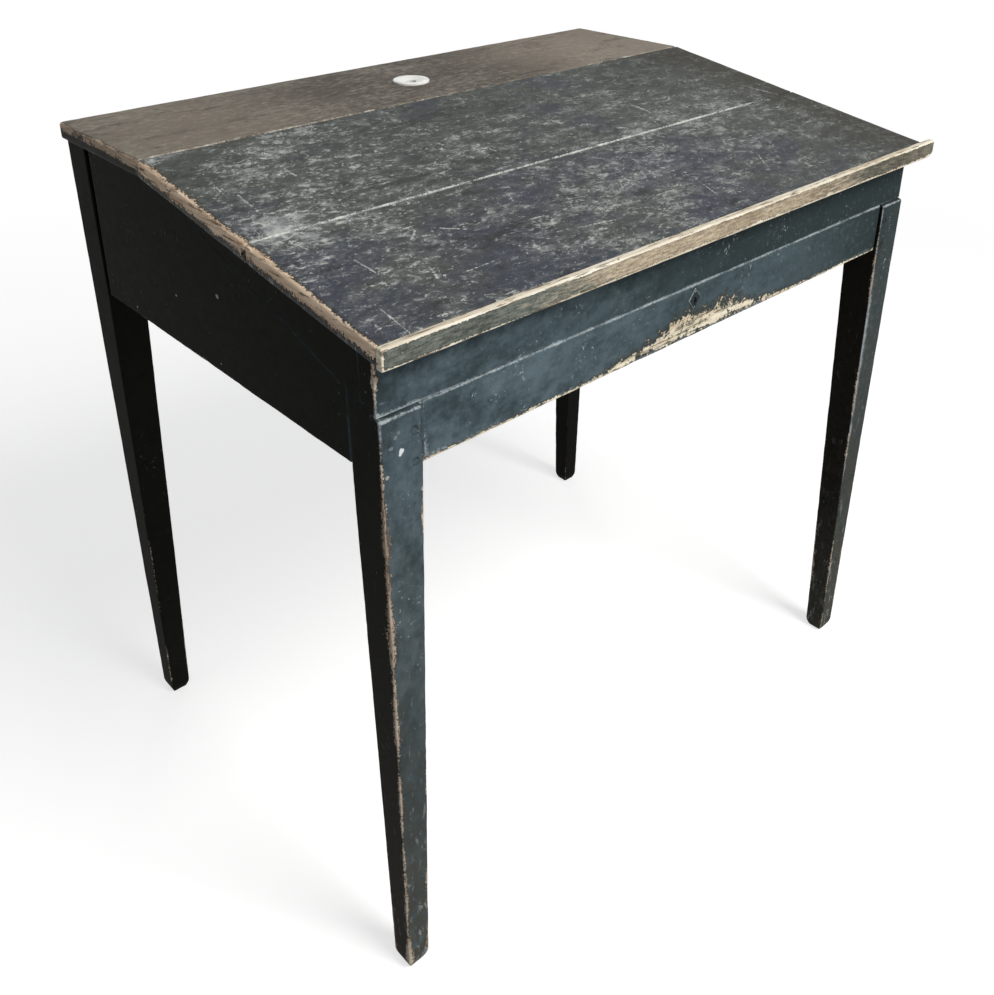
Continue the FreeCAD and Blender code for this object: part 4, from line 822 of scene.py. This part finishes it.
def make_leg(node, seed):
    front, left = "front" in node, "left" in node
    across, deep = taper(low(node, "x"), high(node, "x")), taper(low(node, "y"), high(node, "y"))
    if not left:
        across = reversed(taper(high(node, "x"), low(node, "x")))
    if not front:
        deep = reversed(taper(high(node, "y"), low(node, "y")))
    block = Block(**dict(zip(FACES, (*across, *deep))), bottom=0.0,
                  top=(lambda x, y: rim(y)) if front else board_under)

    def low_wear(x, y, z):
        """Arris wear grows towards the foot."""
        return 0.4 + (3.9 if front else 1.6 if left else 0.5) * ramp(z, 0.5, 0)

    def shin_wear(x, y, z):
        """The foremost arris is rubbed most below the apron, and again near the foot."""
        knee, shin, foot = hump(z, 0.53, 0.08), hump(z, 0.36, 0.07), ramp(z, 0.25, 0)
        if left:
            return 0.8 + 1.8 * ramp(z, 0.66, 0.62) + 6 * knee + 4.5 * shin + 3.5 * foot
        return 0.7 + 2.6 * knee + 3.4 * shin + 3 * foot

    def inner_wear(x, y, z):
        """The inner arris of a front leg is chipped below the apron."""
        return low_wear(x, y, z) + 3.5 * front * hump(z, 0.57, 0.03)

    def head_rub_and_highlight(x, y, z):
        """The outer front arris is pale in the left leg's head, and below it on the right leg: rubbed paint,
        and partly a painted highlight.
        """
        if left:
            return 0.7 + 2.2 * ramp(z, 0.61, 0.65)
        return 0.7 + 11 * (y < low(node, "y") + 1 * MM) * hump(z, 0.48, 0.15)

    def leg_shade(x, y, z):
        """Darker paint: painted shade makes the rear legs, in the desk's shadow, nearly black, and darkens
        beside the apron; the right leg and two bands of the left leg are darker too.
        """
        tone = (1 if left else 0.92) if front else 0.01
        tone = tone * (1 - (0.42 * hump(z, 0.25, 0.1) + 0.24 * hump(z, 0.66, 0.06)) * left)
        beside = np.abs(x - (shoulder_left if left else shoulder_right))
        return tone * np.where(z > rail_bottom, joint_shade(beside), 1)
    mesh = worn_piece(node, block, paint_upright,
                      {"else": low_wear, "left front": shin_wear if front else low_wear, "front top": 0.6,
                       "right front": inner_wear},
                      {"else": 0.7, "front top": 3.2, "left top": 1,
                       "left front": head_rub_and_highlight if front else 0.7},
                      {"bottom": 1.6}, light_and_fade=leg_shade, seed=seed, radius=1.7, nicks=1.6)
    height = vertex_vectors(mesh)[:, 2]
    add_attribute(mesh, "dusty", np.clip(1.05 - height / (0.6 if left else 0.75), 0, 1 if front else 0.2))
    if front and not left:
        raise_attribute(mesh, "light_and_fade", 0.6 * ramp(height, 0.264, 0.044))


for number, leg in enumerate(("leg_front_left", "leg_front_right", "leg_rear_left", "leg_rear_right")):
    make_leg(leg, 20 + 11 * number)

# ---------------- apron, panels, rail and wedges

# The bare patch below the keyhole: where its middle is, how far it reaches, and how high in mm.
PATCH_MIDDLE = 0.012
PATCH_SPREAD_LEFT, PATCH_SPREAD_RIGHT = 0.103, 0.086
PATCH_HEIGHT = 40


def patch_wear(x, y, z):
    """The lower edge of the apron is rubbed bare, most of all below the keyhole."""
    spread = np.where(x < PATCH_MIDDLE, PATCH_SPREAD_LEFT, PATCH_SPREAD_RIGHT)
    return 6 + PATCH_HEIGHT * hump(x, PATCH_MIDDLE, spread)


def patch_limit(x, y, z):
    """The very edge of the bare patch is half covered in old dirt."""
    return 1.74 - 0.36 * ramp(z - rail_bottom, 9.1 * MM, 2.1 * MM) * ramp(patch_wear(x, y, z), 10, 18)


def make_apron():
    block = Block(left=shoulder_left, right=shoulder_right, front=apron_front, back=apron_back,
                  bottom=rail_bottom, top=lambda x, y: rim(y))
    mesh = worn_piece("front_apron", block, apron_finish,
                      {"front bottom": patch_wear, "back bottom": 5,
                       "left front": lambda x, y, z: 0.5 + 6 * ramp(z - rail_bottom, 0.03, 0)},
                      {"front top": 3.6, "right front": 1.5, "front bottom": 8}, {"bottom": 1.6}, ["back"],
                      light_and_fade=lambda x, y, z: joint_shade(np.minimum(x - shoulder_left, shoulder_right - x)),
                      seed=71, nicks=2.0, spacing=5, patchy=0.18, most_worn=patch_limit)
    # The paint is pale along the left end, where it comes out from behind the leg's edge: rubbed paint, and
    # partly a painted highlight.
    x, y, _ = vertex_vectors(mesh).T
    beside_leg = 1.8 - np.abs(x - shoulder_left - 6 * MM) / (4 * MM)
    raise_attribute(mesh, "rub_and_highlight", np.where(y < apron_front + 2 * MM, beside_leg, 0))


def make_side_panel(node, inner, seed):
    step = high("lid_wedge_left", "y") + RIM_GAP
    rear_top = low("leg_rear_left", "y") - REAR_GAP_TOP
    rear_bottom = low("leg_rear_left", "y") - REAR_GAP_BOTTOM
    lean = (rear_top - rear_bottom) / (board_under - rail_bottom)

    def top(x, y):
        under_lid = np.minimum(lid_under(y) - RIM_GAP, board_under)
        return np.where(y < step, rim(y), np.where(y < hinge_seam, under_lid, board_under))
    block = node_block(node, front=high("leg_front_left", "y"), bottom=rail_bottom, top=top,
                       back=lambda x, z: rear_bottom + lean * (z - rail_bottom))
    tenons = Block(left=low(node, "x") + 4 * MM, right=high(node, "x") - 4 * MM, front=rear_bottom - 12 * MM,
                   back=high(node, "y") + 1 * MM, bottom=rail_bottom + 2 * MM, top=board_under - 2 * MM)
    worn_piece(node, block, paint_deep, {"else": 0.5, "left bottom": 2.2, "right bottom": 2.2},
               {"left top": 0.4, "right top": 0.4}, {"bottom": 1.2}, [inner], seed=seed, extra=[tenons])


def rail_block(node, **sides):
    """A piece below the lid boards: from just above the carcass to their underside."""
    return node_block(node, bottom=lambda x, y: rim(y) + RIM_GAP, top=lambda x, y: lid_under(y), **sides)


make_apron()
panel = node_block("back_panel", left=shoulder_left, right=shoulder_right, bottom=rail_bottom,
                   top=board_under)
worn_piece("back_panel", panel, paint_across, {"else": 1, "back bottom": 4, "front bottom": 3},
           {"back bottom": 2}, {"bottom": 1.3}, ["front"], seed=83)
make_side_panel("side_panel_left", "right", 111)
make_side_panel("side_panel_right", "left", 127)
# The lid rail's lower front arris is pale, most over the left leg: rubbed paint, and partly a painted
# highlight.
worn_piece("lid_front_rail", rail_block("lid_front_rail", left=left_face, right=right_face), paint_across,
           {"left front": lambda x, y, z: 0.8 + 6 * ramp(z - rim(apron_front), 0.009, 0.039),
            "right front": 1.5},
           {"front bottom": lambda x, y, z: 2.4 + 3 * ramp(x, -0.33, -0.36), "left front": 3},
           None, ["back"], body="lid", seed=97, radius=1, nicks=0.8)
for name, inner, seed in (("lid_wedge_left", "right", 139), ("lid_wedge_right", "left", 151)):
    worn_piece(name, rail_block(name), paint_deep, {"else": 0.3}, {"left bottom": 0.4, "right bottom": 0.4},
               None, [inner], body="lid", seed=seed, radius=0.9, nicks=0.5)

# ---------------- lid boards, back board, nosing and floor

END_ROUND = 5 * MM

# Where the lid is scuffed more or less: x and y of the middle, reach along x and y (mm), amount.
LID_PATCHES = (
    (-376, -75, 28, 40, 1.2), (20, -150, 110, 50, 0.42), (-290, 45, 70, 35, 0.4),
    (210, -90, 130, 35, 0.5), (-352, -140, 60, 60, 0.3), (-385, 50, 25, 30, -0.4),
    (-271, -190, 70, 35, -0.3), (314, -225, 90, 40, -0.3), (300, 60, 100, 40, -0.5),
    (-75, 60, 80, 25, -0.6), (385, -60, 45, 200, -0.6),
)


def seam_rub_and_highlight(x, y, z):
    """Along the seam between the lid boards; it fades towards the right edge."""
    return 0.6 + 2.9 * ramp(x, 0.36, 0.26)


def make_lid_board(node, front, back, seed, rubbed, extra=()):
    left_end = low(node, "x")
    block = node_block(node, front=front, back=back, bottom=lambda x, y: lid_under(y),
                       top=lambda x, y: lid_top(y) - end_round(x, left_end, END_ROUND))
    # The bare strip along the left edge narrows towards the front, and the left end is dark below: painted
    # shadow under the overhang, and dirt.
    worn = {"else": 0.1, "left top": lambda x, y, z: 7.0 + 3.0 * ramp(y, -0.26, 0.04), "left bottom": 0.6,
            "right top": 2.5}
    bare_end = {"left": lambda x, y, z: np.where(lid_top(y) - z < 12 * MM, 1.8, 1.25), "right": 1.0}
    mesh = worn_piece(node, block, lid_finish, worn, rubbed, bare_end, ["bottom"], body="lid",
                      slot="lid_paint", seed=seed, patchy=0.55, extra=extra, nicks=1.8)
    x, y, _ = vertex_vectors(mesh).T / MM
    add_attribute(mesh, "scuffed", sum(amount * hump(x, across, reach_x) * hump(y, deep, reach_y)
                                       for across, deep, reach_x, reach_y, amount in LID_PATCHES))


tongue = Block(left=low("lid_board_front", "x") + 1 * MM, right=high("lid_board_front", "x") - 1 * MM,
               front=board_seam - 9 * MM, back=high("lid_board_front", "y") + 1 * MM,
               bottom=lambda x, y: lid_under(y) + 1 * MM, top=lambda x, y: lid_top(y) - 1 * MM)
make_lid_board("lid_board_front", lid_front, board_seam - SEAM_GAP, 163,
               {"back top": seam_rub_and_highlight, "right top": 1.5, "front top": 1.2}, [tongue])
make_lid_board("lid_board_rear", board_seam, lid_seam, 179,
               {"front top": seam_rub_and_highlight, "right top": 1.5, "back top": 2.8})


def make_back_board():
    left_end = low("back_board", "x")
    block = node_block("back_board", bottom=lambda x, y: board_under + end_round(x, left_end, 3 * MM),
                       top=lambda x, y: top_height - end_round(x, left_end, END_ROUND))

    def bare_share(x, y, z):
        """The left end is barest beside the hinge line, and dark along the underside."""
        beside_hinge = ramp(y - hinge_seam, 0.07, 0)
        return np.where(top_height - z < 10 * MM, 1.5 + 0.45 * beside_hinge, 0.7 + 0.4 * beside_hinge)

    def hinge_rub_and_highlight(x, y, z):
        """The edge along the hinge line is pale most at the left: rubbed paint, and partly a painted
        highlight.
        """
        return 3.0 - 3 * np.clip(x - left_end, 0, 0.5)
    worn_piece("back_board", block, board_finish,
               {"else": 0.8, "left top": 5, "front top": 0.3, "back top": 1.5, "left back": 3.5},
               {"front top": hinge_rub_and_highlight, "back top": 2}, {"left": bare_share, "right": 1.0}, raw=["bottom"],
               slot="back_board", seed=191, radius=2, nicks=1.6, patchy=0.6)


def make_nosing():
    """The nosing is rounded at its right end, and rubbed pale along its lower edge, more so at the right."""
    node = "nosing_strip"
    right_end, under, upper = high(node, "x"), low(node, "z"), high(node, "z")
    block = node_block(node, bottom=lambda x, y: under + end_round(x, right_end, 10 * MM),
                       top=lambda x, y: upper - end_round(x, right_end, 2 * MM))
    worn_piece(node, block, nosing_finish,
               {"else": 1.5, "front top": 4.5, "front bottom": lambda x, y, z: 4 + 2 * ramp(x, -0.25, 0.05),
                "left front": 5},
               None, {"top": 2, "left": 2, "right": 1.5}, body="lid", slot="nosing", seed=199, spacing=4,
               radius=1.4, nicks=0.7, patchy=0.35)


make_back_board()
make_nosing()
for number, name in enumerate(("bottom_board_front", "bottom_board_middle", "bottom_board_rear")):
    worn_piece(name, node_block(name), pine_across, {}, slot="bare_wood", seed=211 + 7 * number, spacing=14,
               radius=0.8, nicks=0.4)

# ---------------- pegs, escutcheon and small parts

PEG_SIDES = 28


def ring_quads(first, rings, sides):
    """Faces between rings of points; the first ring begins at this point."""
    pairs = [(number, (number + 1) % sides) for number in range(sides)]
    return [(start + one, start + other, start + sides + other, start + sides + one)
            for start in range(first, first + (rings - 1) * sides, sides) for one, other in pairs]


def peg(middle, front, back):
    """A whittled peg: rings from its domed front end to its rear end, and the faces between them."""
    away = math.copysign(1, back - front)
    rings = [(0.35, 0.05), (0.75, 0.12), (0.93, 0.35), (0.985, 0.9), (0.985, 4.0),
             (0.985, abs(back - front) / MM - 0.1)]   # share of the radius, mm from the front end
    points = [(middle[0], front + away * 0.03 * MM, middle[1])]
    for share, inset in rings:
        for number in range(PEG_SIDES):
            angle = 2 * math.pi * number / PEG_SIDES
            radius = share * PEG_RADIUS * (1 - 0.015 * (number % 3))
            points.append((middle[0] + radius * math.cos(angle), front + away * inset * MM,
                           middle[1] + radius * math.sin(angle)))
    faces = [(0, 1 + (number + 1) % PEG_SIDES, 1 + number) for number in range(PEG_SIDES)]
    faces += ring_quads(1, len(rings), PEG_SIDES) + [tuple(range(len(points) - PEG_SIDES, len(points)))]
    return points, [tuple(reversed(face)) for face in faces] if away < 0 else faces


def make_pegs(node, front, back):
    """Draw-bore pegs, a pair through each leg."""
    first, last = box[node]
    points, faces = [], []
    for across in (first.x + PEG_RADIUS, last.x - PEG_RADIUS):
        for up in (first.z + PEG_RADIUS, last.z - PEG_RADIUS):
            more_points, more_faces = peg((across, up), front, back)
            faces += [tuple(corner + len(points) for corner in face) for face in more_faces]
            points += more_points
    piece = mesh_object(node + "_worn", points, faces)
    ends = np.abs(np.array(points)[:, 1] - front) < 0.5 * MM
    add_attribute(piece.data, "light_and_fade", np.where(ends, 0.75, 0.15))
    finish_piece(piece, "carcass", paint_upright, "painted_wood", node)


make_pegs("front_pegs", low("front_pegs", "y"), high("front_pegs", "y"))
make_pegs("rear_pegs", high("rear_pegs", "y"), low("rear_pegs", "y"))


def make_escutcheon():
    """Lozenge plate with a bevelled rim, painted with the apron and pale round its outline: rubbed paint,
    and partly a painted highlight on the rim.
    """
    node = "escutcheon"
    first, last = box[node]
    middle, half_width, half_height = (first + last) / 2, (last.x - first.x) / 2, (last.z - first.z) / 2
    slant = math.hypot(half_width, half_height) / (half_width * half_height)
    rings = [(0.0, last.y), (0.0, first.y + 0.5 * MM), (0.5 * MM, first.y + 0.02 * MM), (1.1 * MM, first.y),
             (2.4 * MM, first.y)]   # inset from the outline, place along y
    corners = np.array([(half_width, 0), (0, half_height), (-half_width, 0), (0, -half_height)])
    per_side = 10
    points = []
    for inset, place in rings:
        for side in range(4):
            for number in range(per_side):
                run = corners[(side + 1) % 4] - corners[side]
                across, up = (1 - inset * slant) * (corners[side] + number / per_side * run)
                points.append((middle.x + across, place, middle.z + up))
    count = 4 * per_side
    faces = [tuple(range(count))]
    faces += [(b, a, d, c) for a, b, c, d in ring_quads(0, len(rings), count)]
    faces.append(tuple(reversed(range(len(points) - count, len(points)))))
    piece = mesh_object(node + "_worn", points, faces)
    combine(piece, cad_copy(node), "INTERSECT")
    x, _, z = vertex_vectors(piece.data).T
    inset = 1 - np.abs(x - middle.x) / half_width - np.abs(z - middle.z) / half_height
    add_attribute(piece.data, "rub_and_highlight", np.clip(2.2 - inset / slant / (0.9 * MM), 0, 2))
    add_attribute(piece.data, "light_and_fade", np.full(len(x), 0.8))
    finish_piece(piece, "carcass", paint_across, "painted_wood", node)


make_escutcheon()


def own_finish(name):
    """The material of a CAD node that is shown itself."""
    if "ledger" in name:
        return pine_deep if "side" in name else pine_across
    if name.startswith(("hinge_leaf", "hinge_pin", "escutcheon_pins")):
        return hinge_iron
    if name in ("lock_bolt", "lock_selvedge", "lock_cap", "link_plate"):
        return brass
    return glaze if name == "inkwell" else steel


for name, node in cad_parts.items():
    for place in node.material_slots:
        place.link = "OBJECT"
        place.material = own_finish(name)

# ---------------- floor, light and camera

FLOOR_RADIUS = 3.2
FLOOR_SIDES = 96
FADE_START, FADE_END = 1.3, 2.6   # from the desk outwards the floor fades into the white background


def background_rays(wiring):
    """1 for rays that show the background: from the camera, or by way of gloss or glass."""
    path = wiring.node("LightPath").outputs
    shown = larger(Value(wiring, path["Is Camera Ray"]), Value(wiring, path["Is Glossy Ray"]))
    return larger(shown, Value(wiring, path["Is Transmission Ray"]))


def make_floor():
    """Pale floor that shows white and keeps the desk's shadow."""
    angles = [2 * math.pi * number / FLOOR_SIDES for number in range(FLOOR_SIDES)]
    floor = mesh_object("floor", [(FLOOR_RADIUS * math.cos(angle), FLOOR_RADIUS * math.sin(angle), 0)
                                  for angle in angles], [tuple(range(FLOOR_SIDES))])
    material = bpy.data.materials.new("floor")
    wiring = Wiring(material)
    pale = wiring.value("BsdfDiffuse", 0, {"Color": (0.5, 0.5, 0.5)})
    glow = wiring.value("Emission", 0, {"Strength": 0.66})
    shown = wiring.value("AddShader", 0, {0: pale, 1: glow})
    white = wiring.value("Emission", 0, {"Color": (1, 1, 1), "Strength": 1.0})
    place = wiring.value("TexCoord", "Object")
    fade = wiring.vectors("LENGTH", place, output="Value").step(FADE_START, FADE_END)
    light_and_fade = wiring.value("MixShader", 0, {0: fade, 1: shown, 2: white})
    mixed = wiring.value("MixShader", 0, {0: background_rays(wiring), 1: pale, 2: light_and_fade})
    wiring.node("OutputMaterial", {"Surface": mixed})
    floor.data.materials.append(material)


def make_world():
    world = bpy.data.worlds.new("studio")
    bpy.context.scene.world = world
    wiring = Wiring(world)
    room = wiring.value("Background", 0, {"Color": (0.93, 0.96, 1.0), "Strength": 0.2})
    white = wiring.value("Background", 0, {"Color": (1, 1, 1), "Strength": 1.0})
    mixed = wiring.value("MixShader", 0, {0: background_rays(wiring), 1: room, 2: white})
    wiring.node("OutputWorld", {"Surface": mixed})


def soft_light(name, place, size, power, colour, aim=(0, 0, 0.6)):
    data = bpy.data.lights.new(name, "AREA")
    data.shape, data.size, data.energy, data.color = "DISK", size, power, colour
    lamp = link_object(name, data)
    lamp.location = place
    lamp.rotation_euler = (Vector(aim) - Vector(place)).to_track_quat("-Z", "Y").to_euler()


def make_camera():
    """The photograph's camera: where it stood, how it was turned, and its lens."""
    focal_pixels, image_width, axis_above_centre = 1075.48, 994, 171.5
    place = Vector((-0.8236, -0.8707, 1.1032))
    forward = Vector((0.6035, 0.6686, -0.43446)).normalized()
    right = Vector((0.74175, -0.67068, -0.00177))
    right = (right - forward * right.dot(forward)).normalized()
    up = right.cross(forward)
    data = bpy.data.cameras.new("camera")
    data.sensor_fit = "HORIZONTAL"
    data.sensor_width = 36
    data.lens = 36 * focal_pixels / image_width
    data.shift_y = -axis_above_centre / image_width
    camera = link_object("camera", data)
    camera.matrix_world = Matrix.Translation(place) @ Matrix((right, up, -forward)).transposed().to_4x4()
    bpy.context.scene.camera = camera


make_floor()
make_world()
soft_light("key", (0.35, -2.5, 3.2), 1.6, 130, (1.0, 0.99, 0.97))
soft_light("front_fill", (0.1, -3.2, 0.9), 2.0, 22, (0.92, 0.97, 1.0))
soft_light("left_fill", (-3.0, 0.3, 1.4), 2.0, 5, (1.0, 0.98, 0.95))
soft_light("back_fill", (1.7, 2.7, 0.45), 0.9, 20, (1.0, 0.99, 0.97), aim=(0, 0, 0.4))
make_camera()
bpy.context.scene.view_settings.view_transform = "Standard"
